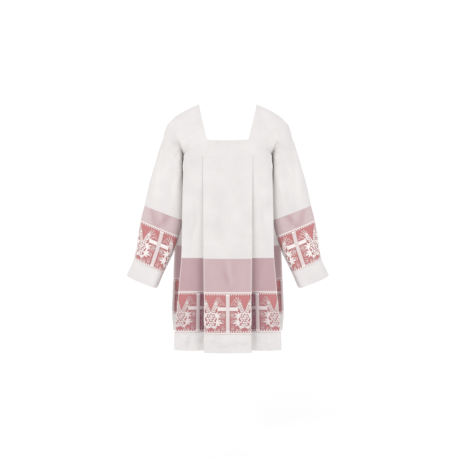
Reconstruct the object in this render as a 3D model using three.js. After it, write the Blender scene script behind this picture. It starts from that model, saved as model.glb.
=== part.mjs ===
// A worn, square-necked surplice of white cotton with nobody in it: a yoke, a skirt in box pleats, wide
// sleeves, and above the hem and the cuffs a net band and a lace band over a coral lining.
// Millimetres, +Z up. The front faces -Y and the wearer's left is +X. The origin is the middle of the
// shoulder line, where the wearer's shoulders carry the garment.

import * as THREE from 'three';

// Driving sizes
const LENGTH = 955;
const HEM_BAND = 73;
const LACE_BAND = 162;
const NET_BAND = 124;
const YOKE_DROP = 215;
const CROSS_ARM_DROP = 66; // from the top of the lace to the middle of a cross's arms

// Cloth thicknesses and clearances
const COTTON = 1.2;
const HEM_THICK = 1.8;
const THIN_CLOTH = 1.0; // net, lace and lining
const LINING_GAP = 1; // between the lining and what lies on it
const SEAM = 0.3;

// Neck and shoulders
const NECK_TIP = { x: 114, z: 0 };
const NECK_CORNER = { x: 78, z: -146 };
const BACK_NECK_CORNER = { x: 88, z: -146 };
const NECK_SAG = 3;
const CHEST_DEPTH = 115; // half of the depth at the yoke seam
const SHOULDER_POINT = { x: 212, z: -54 };
const SEAM_LIFT = 12; // how much higher the yoke seam is at the sides than in the middle
const UNDERARM = { x: 173, z: -YOKE_DROP + SEAM_LIFT };
const ARMHOLE_HALF_DEPTH = 76;

// Box pleats
const BOX_TUCK = 69; // how far the cloth goes back under a box pleat
const CROWN = 3; // how far the middle of the box pleat stands proud of its edges
const EDGE_OPENING = 8; // between the legs of the outer pleat
const CROWN_LEFT = 0.75; // share of the crown that is left halfway to the box pleat's edge
const PANEL_STEPS = [0.045, 0.318, 0.59, 0.82, 0.94, 1]; // shares of the way across the panel beside it
const PANEL_ROUND = 3.2; // a higher power keeps the panel flat for longer before it turns to the side
const HOLLOW_ROUND = 2.6; // a higher power keeps the panel's hollow closer to the box pleat
const BACK_HOLLOW = 0.4; // share of the front panels' hollow that the back ones have
const SIDE_STEPS = 4;
const SIDE_BULGE = 4; // how far the side stands out between the outer pleat and the seam

// Heights of the seams
const NET_TOP = -(LENGTH - HEM_BAND - LACE_BAND - NET_BAND);
const LACE_TOP = NET_TOP - NET_BAND;
const CROSS_ARM = LACE_TOP - CROSS_ARM_DROP;
const LACE_BOTTOM = LACE_TOP - LACE_BAND;
const HEM = -LENGTH;

// Offsets of the layers from the cotton's own middle surface, positive outwards
const COTTON_WALL = { inner: -COTTON / 2, outer: COTTON / 2 };
const SKIN_WALL = { inner: -THIN_CLOTH / 2, outer: THIN_CLOTH / 2 };
const LINING_WALL = {
  inner: -THIN_CLOTH / 2 - LINING_GAP - THIN_CLOTH,
  outer: -THIN_CLOTH / 2 - LINING_GAP,
};
const HEM_WALL = { inner: -HEM_THICK + THIN_CLOTH / 2, outer: THIN_CLOTH / 2 };

// Sections of the skirt, down from the yoke. box is the half width of the box pleat, front its place
// forward of the axis, turn and valley the widths of its outer and inner folds, opening the room
// between its legs, hollow how far the panel falls back beside it, edge and edgeY the outer pleat's fold,
// tuck how far it goes under, seamX the side seam, and lift how far the outer edge hangs higher than the
// middle. back... are the same at the back.
const SKIRT = [
  { z: -YOKE_DROP, box: 94, front: 116, turn: 1.8, valley: 1.8, opening: 0.2, hollow: 0,
    edge: 168, edgeY: 80, tuck: 0, seamX: 172, lift: SEAM_LIFT,
    backFront: 116, backEdge: 168, backEdgeY: 80, backTuck: 0, backLift: SEAM_LIFT },
  { z: -256, box: 94, front: 118, turn: 2, valley: 1.8, opening: 0.4, hollow: 0.5,
    edge: 169.5, edgeY: 88, tuck: 3, seamX: 173, lift: 4,
    backFront: 120, backEdge: 177, backEdgeY: 88, backTuck: 4, backLift: 4 },
  { z: -322, box: 93.5, front: 122, turn: 2.6, valley: 2, opening: 0.9, hollow: 2,
    edge: 171, edgeY: 97, tuck: 10, seamX: 171, lift: 0,
    backFront: 128, backEdge: 190, backEdgeY: 102, backTuck: 10, backLift: 0 },
  { z: -412, box: 93, front: 127, turn: 3.6, valley: 2.4, opening: 1.6, hollow: 5,
    edge: 173, edgeY: 106, tuck: 22, seamX: 168, lift: 0,
    backFront: 140, backEdge: 203, backEdgeY: 120, backTuck: 18, backLift: 4 },
  { z: -502, box: 92.4, front: 132, turn: 4.8, valley: 2.8, opening: 2.2, hollow: 8,
    edge: 174.5, edgeY: 112, tuck: 32, seamX: 170, lift: 0,
    backFront: 153, backEdge: 214, backEdgeY: 134, backTuck: 26, backLift: 14 },
  { z: NET_TOP, box: 92, front: 137, turn: 5.6, valley: 3, opening: 2.8, hollow: 11,
    edge: 177, edgeY: 116, tuck: 42, seamX: 176, lift: 2,
    backFront: 166, backEdge: 224, backEdgeY: 146, backTuck: 33, backLift: 28 },
  { z: LACE_TOP, box: 91, front: 142, turn: 5.6, valley: 3, opening: 3.6, hollow: 14,
    edge: 188, edgeY: 118, tuck: 52, seamX: 185, lift: 0,
    backFront: 179, backEdge: 232, backEdgeY: 156, backTuck: 37, backLift: 13 },
  { z: CROSS_ARM, box: 90.8, front: 144, turn: 5.6, valley: 3, opening: 4.2, hollow: 15,
    edge: 194.5, edgeY: 118.5, tuck: 55, seamX: 189.5, lift: 0,
    backFront: 184, backEdge: 235.5, backEdgeY: 159.5, backTuck: 38, backLift: 15 },
  { z: LACE_BOTTOM, box: 90.6, front: 146, turn: 5.6, valley: 3, opening: 5, hollow: 16,
    edge: 204, edgeY: 119, tuck: 58, seamX: 196, lift: 1,
    backFront: 190, backEdge: 239.5, backEdgeY: 163.5, backTuck: 39, backLift: 19 },
  { z: HEM, box: 90.6, front: 147.5, turn: 5.6, valley: 3, opening: 5.6, hollow: 17,
    edge: 206.5, edgeY: 120, tuck: 60, seamX: 200, lift: 6,
    backFront: 194, backEdge: 242, backEdgeY: 166, backTuck: 40, backLift: 13 },
];
const NET_ROWS = [NET_TOP, LACE_TOP];
const LACE_ROWS = [LACE_TOP, CROSS_ARM, LACE_BOTTOM];
const LINING_ROWS = [NET_TOP, LACE_TOP, CROSS_ARM, LACE_BOTTOM];
const HEM_ROWS = [LACE_BOTTOM, HEM];

// Sections of the left sleeve, down from the armhole: the inner and outer ends of each ring as x and z,
// half its depth from front to back, and its middle in y.
const SLEEVE = [
  { innerX: 176.5, innerZ: -223, outerX: 236, outerZ: -80, halfDepth: 75, y: -1 },
  { innerX: 178.5, innerZ: -240, outerX: 246.5, outerZ: -109, halfDepth: 74, y: -3 },
  { innerX: 180, innerZ: -257, outerX: 252, outerZ: -133, halfDepth: 73, y: -5 },
  { innerX: 181, innerZ: -276, outerX: 262, outerZ: -159, halfDepth: 71, y: -7 },
  { innerX: 179.5, innerZ: -328, outerX: 286.5, outerZ: -240, halfDepth: 67, y: -12 },
  { innerX: 177, innerZ: -390, outerX: 308, outerZ: -315, halfDepth: 64, y: -17 },
  { innerX: 179, innerZ: -452, outerX: 326, outerZ: -396, halfDepth: 61, y: -22 },
  { innerX: 190.5, innerZ: -512, outerX: 340, outerZ: -451, halfDepth: 59, y: -25 },
  { innerX: 210, innerZ: -571, outerX: 351, outerZ: -513, halfDepth: 62, y: -27 },
  { innerX: 250.5, innerZ: -655, outerX: 366, outerZ: -601, halfDepth: 69, y: -30 },
  { innerX: 276.5, innerZ: -715, outerX: 395.5, outerZ: -667, halfDepth: 71, y: -32 },
];
const SLEEVE_NET_TOP = 6;
const SLEEVE_LACE_TOP = 7;
const SLEEVE_LACE_BOTTOM = 9;
const SLEEVE_END = 10;
const AROUND = 28; // points round a sleeve
const FRONT_SQUARE = 0.84; // under 1 makes the front of a sleeve flatter, with tighter folds at its ends
const OVAL_STEPS = 720; // fine steps that measure an oval
const ARMHOLE_CLEAR = 0.2; // room between the armhole and the sleeve, beside the seam

// Rows of the yoke, down from the shoulder seam: the angle round the armhole from its top, the height at
// the side of the neck, and how squarely the row turns from the front to the side.
const YOKE = [
  { angle: 0, neckZ: 0, square: 0.45 },
  { angle: 25, neckZ: -12, square: 0.5 },
  { angle: 50, neckZ: -38, square: 0.55 },
  { angle: 75, neckZ: -72, square: 0.6 },
  { angle: 100, neckZ: -108, square: 0.66 },
  { angle: 125, neckZ: NECK_CORNER.z, square: 0.72 },
  { angle: 152, neckZ: -180, square: 0.78 },
  { angle: 180, neckZ: -YOKE_DROP, square: 0.84 },
];
const CORNER_ROW = 5; // the row at the lower edge of the neck
const NECK_COLUMNS = 2;
const SHOULDER_COLUMNS = 6;

// How a row of the yoke bends: along is how far forward it runs before it turns, more so if square, fall
// and rise place its two turns in height, and spread rounds its outer turn.
const YOKE_BEND = { along: 0.33, alongSquare: 0.3, fall: 0.36, rise: 0.3, spread: 0.3 };

// Lace: half of a repeat, from the middle of a cross (u 0) to the middle of the sheaf of wheat and
// grapes. Each gap has its left and right ends as u, and their tops and bottoms as v down from the top.
const LACE_REPEAT = 128;
const REPEAT_FACETS = 8; // facets of a sleeve to one repeat
const LACE_MARGIN = 1.2; // the least cloth left beside a fold
const LEAST_GAP = 4.6;
const LACE_GAPS = [
  { u0: 8.5, top0: 17, bottom0: 57, u1: 21, top1: 15.6, bottom1: 58.4 },
  { u0: 24, top0: 15.2, bottom0: 56, u1: 37, top1: 21, bottom1: 43 },
  { u0: 40, top0: 16.2, bottom0: 38, u1: 52, top1: 17.6, bottom1: 28 },
  { u0: 8.6, top0: 76, bottom0: 108, u1: 22, top1: 74.8, bottom1: 100 },
  { u0: 8.9, top0: 113, bottom0: 147.5, u1: 26, top1: 106, bottom1: 145.8 },
  { u0: 30, top0: 124, bottom0: 146.3, u1: 44, top1: 134, bottom1: 147.4 },
];

const COLOURS = { cotton: 0xeee9e7, net: 0xceb7ba, lining: 0xc4666a, lace: 0xefe6e4 };

const lerp = (a, b, s) => a + (b - a) * s;

// Builds the pieces' triangles, merging corners that coincide.
class Shell {
  constructor() {
    this.corners = [];
    this.index = new Map();
    this.triangles = [];
  }

  corner(p) {
    const key = p.map((v) => Math.round(v * 2000)).join(',');
    if (!this.index.has(key)) {
      this.index.set(key, this.corners.length);
      this.corners.push(p);
    }
    return this.index.get(key);
  }

  triangle(a, b, c) {
    const t = [this.corner(a), this.corner(b), this.corner(c)];
    if (t[0] !== t[1] && t[1] !== t[2] && t[2] !== t[0]) {
      this.triangles.push(t);
    }
  }

  quad(a, b, c, d) {
    this.triangle(a, b, c);
    this.triangle(a, c, d);
  }

  // Six times the volume, negative if the faces point inwards
  volume() {
    const at = this.corners.map((p) => new THREE.Vector3(...p));
    return this.triangles.reduce((sum, [a, b, c]) => sum + at[a].dot(at[b].clone().cross(at[c])), 0);
  }

  geometry() {
    const flip = this.volume() < 0;
    const g = new THREE.BufferGeometry();
    g.setAttribute('position', new THREE.Float32BufferAttribute(this.corners.flat(), 3));
    g.setIndex(this.triangles.flatMap(([a, b, c]) => (flip ? [a, c, b] : [a, b, c])));
    g.computeVertexNormals();
    return g;
  }
}

// The point at s across and t down a facet whose corners are at rows[r][i] and beyond
function onFacet(rows, r, i, s, t) {
  const next = (i + 1) % rows[r].length;
  return [0, 1, 2].map((k) =>
    lerp(lerp(rows[r][i][k], rows[r][next][k], s), lerp(rows[r + 1][i][k], rows[r + 1][next][k], s), t));
}

// A closed wall between two matching grids of points. holes(r, i) gives the gaps cut through a facet,
// each a ring of (s, t) across and down it.
function wall(outer, inner, { closed = false, holes = () => [] } = {}) {
  const shell = new Shell();
  const last = outer.length - 1;
  const across = closed ? outer[0].length : outer[0].length - 1;
  const frame = [[0, 0], [1, 0], [1, 1], [0, 1]];
  for (let r = 0; r < last; r++) {
    for (let i = 0; i < across; i++) {
      const gaps = holes(r, i);
      const ring = [...frame, ...gaps.flat()];
      const flat = (p) => new THREE.Vector2(...p);
      const faces = THREE.ShapeUtils.triangulateShape(frame.map(flat), gaps.map((g) => g.map(flat)));
      const place = (rows) => ring.map(([s, t]) => onFacet(rows, r, i, s, t));
      const [out, back] = [place(outer), place(inner)];
      for (const [a, b, c] of faces) {
        shell.triangle(out[a], out[b], out[c]);
        shell.triangle(back[a], back[c], back[b]);
      }
      for (const gap of gaps) {
        gap.forEach(([s, t], k) => {
          const [s1, t1] = gap[(k + 1) % gap.length];
          shell.quad(onFacet(outer, r, i, s, t), onFacet(outer, r, i, s1, t1),
            onFacet(inner, r, i, s1, t1), onFacet(inner, r, i, s, t));
        });
      }
    }
  }
  for (let i = 0; i < across; i++) {
    const n = (i + 1) % outer[0].length;
    shell.quad(outer[0][n], outer[0][i], inner[0][i], inner[0][n]);
    shell.quad(outer[last][i], outer[last][n], inner[last][n], inner[last][i]);
  }
  if (!closed) {
    const end = outer[0].length - 1;
    for (let r = 0; r < last; r++) {
      shell.quad(outer[r][0], outer[r + 1][0], inner[r + 1][0], inner[r][0]);
      shell.quad(outer[r + 1][end], outer[r][end], inner[r][end], inner[r + 1][end]);
    }
  }
  return shell.geometry();
}

// Half of a skirt section in plan, from the middle of the front (or of the back, with y turned round) to
// the side seam: the box pleat, the panel beside it, the outer pleat and the side.
function halfSection(section, side) {
  const back = side === 'back';
  const front = back ? section.backFront : section.front;
  const edge = back ? section.backEdge : section.edge;
  const edgeY = back ? section.backEdgeY : section.edgeY;
  const tuck = back ? section.backTuck : section.tuck;
  const hollow = back ? section.hollow * BACK_HOLLOW : section.hollow;
  const { box, turn, valley, opening, seamX } = section;
  const boxY = front - CROWN;
  const valleyY = boxY - turn - opening;
  const panelY = valleyY - valley - opening;
  const points = [
    [0, -front],
    [box / 2, -(boxY + CROWN * CROWN_LEFT)],
    [box, -boxY],
    [box, -boxY + turn],
    [box - BOX_TUCK, -valleyY],
    [box - BOX_TUCK, -valleyY + valley],
  ];
  for (const s of PANEL_STEPS) {
    const depth = lerp(panelY, edgeY, s ** PANEL_ROUND) - hollow * (1 - s) ** HOLLOW_ROUND;
    points.push([lerp(box, edge, s), -depth]);
  }
  const legY = edgeY - turn - EDGE_OPENING;
  points.push([edge, -edgeY + turn], [edge - tuck, -legY], [edge - tuck, -legY + valley]);
  const from = points.at(-1);
  for (let k = 1; k <= SIDE_STEPS; k++) {
    const s = k / SIDE_STEPS;
    const bulge = Math.min(SIDE_BULGE, tuck / 4) * Math.sin(Math.PI * s);
    points.push([lerp(from[0], seamX, s) + bulge, lerp(from[1], -SEAM / 2, s)]);
  }
  return back ? points.map(([x, y]) => [x, -y]) : points;
}

// The section between two named ones, at height z
function sectionAt(z) {
  const below = Math.max(1, SKIRT.findIndex((row) => row.z <= z + 1e-6));
  const [a, b] = [SKIRT[below - 1], SKIRT[below]];
  const s = (a.z - z) / (a.z - b.z);
  return Object.fromEntries(Object.keys(a).map((key) => [key, lerp(a[key], b[key], s)]));
}

// A whole front or back section in plan, running anticlockwise seen from above
function fullSection(z, side) {
  const half = halfSection(sectionAt(z), side);
  const mirrored = half.slice(1).reverse().map(([x, y]) => [-x, y]);
  const line = [...mirrored, ...half];
  return side === 'back' ? line.reverse() : line;
}

// Moves a line in plan sideways by a distance, outwards if positive. Its corners stay mitred and its
// ends stay in the plane of the side seams.
function offsetLine(line, distance) {
  const normal = (a, b) => {
    const length = Math.hypot(b[0] - a[0], b[1] - a[1]);
    return [(b[1] - a[1]) / length, -(b[0] - a[0]) / length];
  };
  const last = line.length - 1;
  return line.map((p, i) => {
    if (i === 0) return [p[0] + distance / normal(p, line[1])[0], p[1]];
    if (i === last) return [p[0] + distance / normal(line[last - 1], p)[0], p[1]];
    const [before, after] = [normal(line[i - 1], p), normal(p, line[i + 1])];
    const share = 1 + before[0] * after[0] + before[1] * after[1];
    return [0, 1].map((k) => p[k] + (distance * (before[k] + after[k])) / share);
  });
}

// How much higher a section hangs at a place in plan than in its middle
function liftAt(section, x, y) {
  const lift = lerp(section.lift, section.backLift, THREE.MathUtils.clamp(y / section.backEdgeY, 0, 1));
  return lift * Math.min(1, Math.abs(x) / section.edge) ** 2;
}

// A row of a skirt piece in space, at one of its layers
function skirtRow(z, side, offset, drop = 0) {
  const section = sectionAt(z);
  const line = fullSection(z, side);
  return offsetLine(line, offset).map(([x, y]) => [x, y, z + liftAt(section, x, y) + drop]);
}

// A strip of the skirt between the first and last of the heights, parted from its neighbours at the seams
function skirtWall(heights, side, layer, holes) {
  const drop = (k) => (k === 0 ? -SEAM / 2 : 0) + (k === heights.length - 1 ? SEAM / 2 : 0);
  const rows = (offset) => heights.map((z, k) => skirtRow(z, side, offset, drop(k)));
  return wall(rows(layer.outer), rows(layer.inner), { holes });
}

// Cuts the lace's gaps out of one facet that runs from u0 to u1 along the cloth and top to bottom down it
function laceGaps(u0, u1, top, bottom) {
  const gaps = [];
  const firstRepeat = Math.floor(u0 / LACE_REPEAT) - 1;
  const lastRepeat = Math.ceil(u1 / LACE_REPEAT) + 1;
  for (let repeat = firstRepeat; repeat <= lastRepeat; repeat++) {
    for (const hand of [1, -1]) {
      for (const gap of LACE_GAPS) {
        if (gap.top0 < top || gap.bottom0 > bottom) continue;
        const at = (u) => repeat * LACE_REPEAT + hand * u;
        const [low, high] = [Math.min(at(gap.u0), at(gap.u1)), Math.max(at(gap.u0), at(gap.u1))];
        const left = Math.max(low, u0 + LACE_MARGIN);
        const right = Math.min(high, u1 - LACE_MARGIN);
        if (right - left < LEAST_GAP) continue;
        const corner = (u, key) => {
          const s = (u - at(gap.u0)) / (at(gap.u1) - at(gap.u0));
          return [(u - u0) / (u1 - u0), (lerp(gap[`${key}0`], gap[`${key}1`], s) - top) / (bottom - top)];
        };
        const ends = [[left, 'top'], [right, 'top'], [right, 'bottom'], [left, 'bottom']];
        gaps.push(ends.map(([u, key]) => corner(u, key)));
      }
    }
  }
  return gaps;
}

// How far along the cloth each point of a section is from its middle
function alongCloth(line) {
  const along = [0];
  for (let i = 1; i < line.length; i++) {
    along.push(along[i - 1] + Math.hypot(line[i][0] - line[i - 1][0], line[i][1] - line[i - 1][1]));
  }
  const middle = along[(line.length - 1) / 2];
  return along.map((u) => u - middle);
}

function skirtLace(side) {
  const along = alongCloth(fullSection(CROSS_ARM, side));
  const heights = LACE_ROWS.map((z) => LACE_TOP - z);
  const holes = (r, i) => laceGaps(along[i], along[i + 1], heights[r], heights[r + 1]);
  return skirtWall(LACE_ROWS, side, SKIN_WALL, holes);
}

// The armhole's edge at an angle round it from the top, on the front if y is negative
function armholePoint(angle, y) {
  const middle = [(SHOULDER_POINT.x + UNDERARM.x) / 2, (SHOULDER_POINT.z + UNDERARM.z) / 2];
  const turn = THREE.MathUtils.degToRad(angle);
  return [
    middle[0] + ((SHOULDER_POINT.x - UNDERARM.x) / 2) * Math.cos(turn),
    y * ARMHOLE_HALF_DEPTH * Math.sin(turn),
    middle[1] + ((SHOULDER_POINT.z - UNDERARM.z) / 2) * Math.cos(turn),
  ];
}

// Points along the front of the yoke's lower edge, taken from the top of the skirt without its box
// pleat's legs. corner is how far out the neck's corner lies.
function yokeSeam(count, corner) {
  const [firstLeg, lastLeg] = [3, 6];
  const half = halfSection(sectionAt(-YOKE_DROP), 'front').filter((_, k) => k < firstLeg || k > lastLeg);
  const curve = half.map(([x, y]) => new THREE.Vector2(x, y));
  const along = [0];
  for (let k = 1; k < curve.length; k++) {
    along.push(along[k - 1] + curve[k].distanceTo(curve[k - 1]));
  }
  const at = (u) => {
    const k = Math.min(along.length - 2, Math.max(0, along.findIndex((v) => v > u) - 1));
    return curve[k].clone().lerp(curve[k + 1], (u - along[k]) / (along[k + 1] - along[k]));
  };
  const end = along.at(-1) - 1e-6;
  const stops = [0, corner / 2, corner];
  for (let k = 1; k <= count; k++) {
    stops.push(lerp(corner, end, k / count));
  }
  const { lift, edge } = SKIRT[0];
  return stops.map((u) => {
    const p = at(u);
    return [p.x, p.y, -YOKE_DROP + lift * Math.min(1, p.x / edge) ** 2 + SEAM / 2];
  });
}

// One row of half a yoke as if at the front, from the middle to the armhole. Above the neck's edge it
// starts at the neck.
function yokeRow(index, corner) {
  const row = YOKE[index];
  if (index === YOKE.length - 1) return yokeSeam(SHOULDER_COLUMNS, corner.x);
  const depth = CHEST_DEPTH * Math.sqrt(1 - (1 + row.neckZ / YOKE_DROP) ** 2);
  const down = Math.min(1, row.neckZ / corner.z);
  const neck = [lerp(NECK_TIP.x, corner.x, down), -depth, row.neckZ];
  const arm = armholePoint(row.angle, -1);
  const reach = YOKE_BEND.along + YOKE_BEND.alongSquare * row.square;
  const first = [lerp(neck[0], arm[0], reach), neck[1], lerp(neck[2], arm[2], YOKE_BEND.fall)];
  const second = [
    lerp(arm[0], neck[0], YOKE_BEND.spread * (1 - row.square)),
    lerp(arm[1], neck[1], row.square),
    lerp(arm[2], neck[2], YOKE_BEND.rise),
  ];
  const bends = [neck, first, second, arm].map((p) => new THREE.Vector3(...p));
  const curve = new THREE.CubicBezierCurve3(...bends);
  const points = [];
  for (let k = 0; k < NECK_COLUMNS; k++) {
    const s = k / NECK_COLUMNS;
    const sag = index === CORNER_ROW ? NECK_SAG * (1 - s * s) : 0;
    points.push([neck[0] * s, neck[1], neck[2] - sag]);
  }
  for (let k = 0; k <= SHOULDER_COLUMNS; k++) {
    points.push(curve.getPoint(k / SHOULDER_COLUMNS).toArray());
  }
  return points;
}

// The front or back yoke: two straps and the bar below the neck, as one wall with mitred thickness
function yoke(side) {
  const corner = side === 'back' ? BACK_NECK_CORNER : NECK_CORNER;
  const half = YOKE.map((_, index) => yokeRow(index, corner));
  const flip = side === 'back' ? -1 : 1;
  const grid = half.map((row) => {
    const left = row.slice(1).reverse().map(([x, y, z]) => [-x, y, z]);
    return [...left, ...row].map(([x, y, z]) => new THREE.Vector3(x, flip * y, z));
  });
  grid[0].forEach((p) => {
    p.y -= flip * (SEAM / 2);
  });
  const columns = grid[0].length - 1;
  const middle = columns / 2;
  const isCloth = (r, i) =>
    r >= 0 && r < grid.length - 1 && i >= 0 && i < columns &&
    (r >= CORNER_ROW || i >= middle + NECK_COLUMNS || i < middle - NECK_COLUMNS);
  const facetNormal = (r, i) => {
    const across = grid[r][i + 1].clone().sub(grid[r + 1][i]);
    const down = grid[r + 1][i + 1].clone().sub(grid[r][i]);
    return across.cross(down).multiplyScalar(-flip).normalize();
  };
  const moved = (r, i, distance) => {
    const normal = new THREE.Vector3();
    for (const [dr, di] of [[-1, -1], [-1, 0], [0, -1], [0, 0]]) {
      if (isCloth(r + dr, i + di)) normal.add(facetNormal(r + dr, i + di));
    }
    if (r === 0) normal.y = 0;
    if (r === grid.length - 1) normal.z = 0;
    return grid[r][i].clone().addScaledVector(normal.normalize(), distance).toArray();
  };
  const shell = new Shell();
  const [outer, inner] = [COTTON / 2, -COTTON / 2];
  for (let r = 0; r < grid.length - 1; r++) {
    for (let i = 0; i < columns; i++) {
      if (!isCloth(r, i)) continue;
      const ring = [[r, i], [r + 1, i], [r + 1, i + 1], [r, i + 1]];
      const out = ring.map(([a, b]) => moved(a, b, outer));
      const back = ring.map(([a, b]) => moved(a, b, inner));
      shell.quad(...out);
      shell.quad(back[3], back[2], back[1], back[0]);
      const beside = [[r, i - 1], [r + 1, i], [r, i + 1], [r - 1, i]];
      beside.forEach(([a, b], k) => {
        const n = (k + 1) % 4;
        if (!isCloth(a, b)) shell.quad(out[n], out[k], back[k], back[n]);
      });
    }
  }
  return shell.geometry();
}

// A point of a unit oval whose front half is squarer than its back, as shares of its width and depth
function ovalPoint(angle) {
  const [wide, deep] = [Math.cos(angle), Math.sin(angle)];
  if (deep <= 0) return [wide, deep];
  return [Math.sign(wide) * Math.abs(wide) ** FRONT_SQUARE, deep ** FRONT_SQUARE];
}

// Points spaced evenly along a sleeve's oval section, from its outer end round the front
function ovalRing(section, offset) {
  const middle = [(section.innerX + section.outerX) / 2, (section.innerZ + section.outerZ) / 2];
  const axis = new THREE.Vector2(section.outerX - section.innerX, section.outerZ - section.innerZ);
  const halfWidth = axis.length() / 2;
  axis.normalize();
  const fine = [];
  const along = [];
  for (let k = 0; k <= OVAL_STEPS; k++) {
    const [wide, deep] = ovalPoint((k / OVAL_STEPS) * Math.PI * 2);
    fine.push([wide * halfWidth, deep * section.halfDepth]);
    along.push(k === 0 ? 0 : along[k - 1] + Math.hypot(...fine[k].map((v, n) => v - fine[k - 1][n])));
  }
  const ring = [];
  for (let m = 0; m < AROUND; m++) {
    const target = (m / AROUND) * along[OVAL_STEPS];
    const k = Math.max(1, along.findIndex((v) => v >= target));
    const s = (target - along[k - 1]) / (along[k] - along[k - 1]);
    const wide = lerp(fine[k - 1][0], fine[k][0], s) * (1 + offset / halfWidth);
    const deep = lerp(fine[k - 1][1], fine[k][1], s) * (1 + offset / section.halfDepth);
    ring.push([middle[0] + axis.x * wide, section.y - deep, middle[1] + axis.y * wide]);
  }
  return ring;
}

// The sleeve's first ring, which follows the yoke's edge round the armhole just clear of it
function armholeRing(offset) {
  const corners = [];
  for (const row of YOKE.slice(0, -1)) {
    corners.push({ angle: row.angle, p: armholePoint(row.angle, -1) });
  }
  for (const row of YOKE.slice(1).reverse()) {
    corners.push({ angle: 360 - row.angle, p: armholePoint(row.angle, 1) });
  }
  const ring = [];
  corners.forEach(({ angle, p }, k) => {
    const next = corners[(k + 1) % corners.length];
    const to = next.angle > angle ? next.angle : next.angle + 360;
    ring.push({ angle, p }, { angle: (angle + to) / 2, p: p.map((v, n) => lerp(v, next.p[n], 0.5)) });
  });
  const across = new THREE.Vector2(SHOULDER_POINT.x - UNDERARM.x, SHOULDER_POINT.z - UNDERARM.z).normalize();
  return ring.map(({ angle, p }) => {
    const turn = THREE.MathUtils.degToRad(angle);
    const under = (1 - Math.cos(turn)) / 2;
    const clear = SEAM + ARMHOLE_CLEAR + (COTTON / 2) * under;
    return [
      p[0] + across.x * offset * Math.cos(turn) + across.y * clear,
      p[1] - offset * Math.sin(turn),
      p[2] + across.y * offset * Math.cos(turn) - across.x * clear,
    ];
  });
}

// Moves a ring of the sleeve along the sleeve by a small distance, to part two pieces at a seam
function nudge(ring, index, distance) {
  const other = index < SLEEVE_END ? index + 1 : index - 1;
  const way = index < SLEEVE_END ? 1 : -1;
  const middle = (s) => new THREE.Vector3((s.innerX + s.outerX) / 2, s.y, (s.innerZ + s.outerZ) / 2);
  const along = middle(SLEEVE[other]).sub(middle(SLEEVE[index])).normalize().multiplyScalar(way * distance);
  return ring.map(([x, y, z]) => [x + along.x, y + along.y, z + along.z]);
}

// Rings of a sleeve piece between two of its sections, at one layer, for the left (1) or right (-1) side
function sleeveRings(first, last, offset, hand) {
  const rings = [];
  for (let index = first; index <= last; index++) {
    const drop = (index === first ? SEAM / 2 : 0) - (index === last ? SEAM / 2 : 0);
    rings.push(nudge(ovalRing(SLEEVE[index], offset), index, drop));
  }
  return rings.map((ring) => ring.map(([x, y, z]) => [hand * x, y, z]));
}

function sleeveTube(first, last, layer, hand) {
  const rings = (offset) => sleeveRings(first, last, offset, hand);
  return wall(rings(layer.outer), rings(layer.inner), { closed: true });
}

function upperSleeve(hand) {
  const rings = (offset) => {
    const top = armholeRing(offset).map(([x, y, z]) => [hand * x, y, z]);
    return [top, ...sleeveRings(0, SLEEVE_NET_TOP, offset, hand)];
  };
  return wall(rings(COTTON_WALL.outer), rings(COTTON_WALL.inner), { closed: true });
}

// Half of a sleeve's lace, front or back, between the sleeve's outer edge and the seam under the arm
function sleeveLace(hand, half) {
  const middle = AROUND / 2;
  const pitch = LACE_REPEAT / REPEAT_FACETS;
  const first = half === 'front' ? 0 : -middle;
  const pick = (ring) => {
    const line = [];
    for (let q = first; q <= first + middle; q++) {
      line.push(ring[(q + AROUND) % AROUND]);
    }
    const part = (a, b) => {
      const length = Math.hypot(...a.map((v, k) => b[k] - v));
      return a.map((v, k) => lerp(v, b[k], SEAM / 2 / length));
    };
    line[0] = part(line[0], line[1]);
    line[middle] = part(line[middle], line[middle - 1]);
    return line;
  };
  const rows = (offset) => sleeveRings(SLEEVE_LACE_TOP, SLEEVE_LACE_BOTTOM, offset, hand).map(pick);
  const heights = LACE_ROWS.map((z) => LACE_TOP - z);
  const holes = (r, i) =>
    laceGaps((first + i) * pitch, (first + i + 1) * pitch, heights[r], heights[r + 1]);
  return wall(rows(SKIN_WALL.outer), rows(SKIN_WALL.inner), { holes });
}

const surplice = new THREE.Group();

function add(name, geometry, colour, roughness) {
  const material = new THREE.MeshStandardMaterial({ color: colour, roughness, metalness: 0 });
  const mesh = new THREE.Mesh(geometry, material);
  mesh.name = name;
  surplice.add(mesh);
}

const SKIRT_ROWS = SKIRT.map((row) => row.z).filter((z) => z >= NET_TOP);
for (const side of ['front', 'back']) {
  add(`yoke_${side}`, yoke(side), COLOURS.cotton, 0.85);
  add(`skirt_${side}`, skirtWall(SKIRT_ROWS, side, COTTON_WALL), COLOURS.cotton, 0.85);
  add(`lining_${side}`, skirtWall(LINING_ROWS, side, LINING_WALL), COLOURS.lining, 0.6);
  add(`net_${side}`, skirtWall(NET_ROWS, side, SKIN_WALL), COLOURS.net, 0.8);
  add(`lace_${side}`, skirtLace(side), COLOURS.lace, 0.8);
  add(`hem_${side}`, skirtWall(HEM_ROWS, side, HEM_WALL), COLOURS.cotton, 0.85);
}
for (const [side, hand] of [['left', 1], ['right', -1]]) {
  add(`sleeve_${side}`, upperSleeve(hand), COLOURS.cotton, 0.85);
  add(`sleeve_lining_${side}`, sleeveTube(SLEEVE_NET_TOP, SLEEVE_LACE_BOTTOM, LINING_WALL, hand),
    COLOURS.lining, 0.6);
  add(`sleeve_net_${side}`, sleeveTube(SLEEVE_NET_TOP, SLEEVE_LACE_TOP, SKIN_WALL, hand), COLOURS.net, 0.8);
  for (const half of ['front', 'back']) {
    add(`sleeve_lace_${side}_${half}`, sleeveLace(hand, half), COLOURS.lace, 0.8);
  }
  add(`cuff_${side}`, sleeveTube(SLEEVE_LACE_BOTTOM, SLEEVE_END, HEM_WALL, hand), COLOURS.cotton, 0.85);
}

export default surplice;
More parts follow.
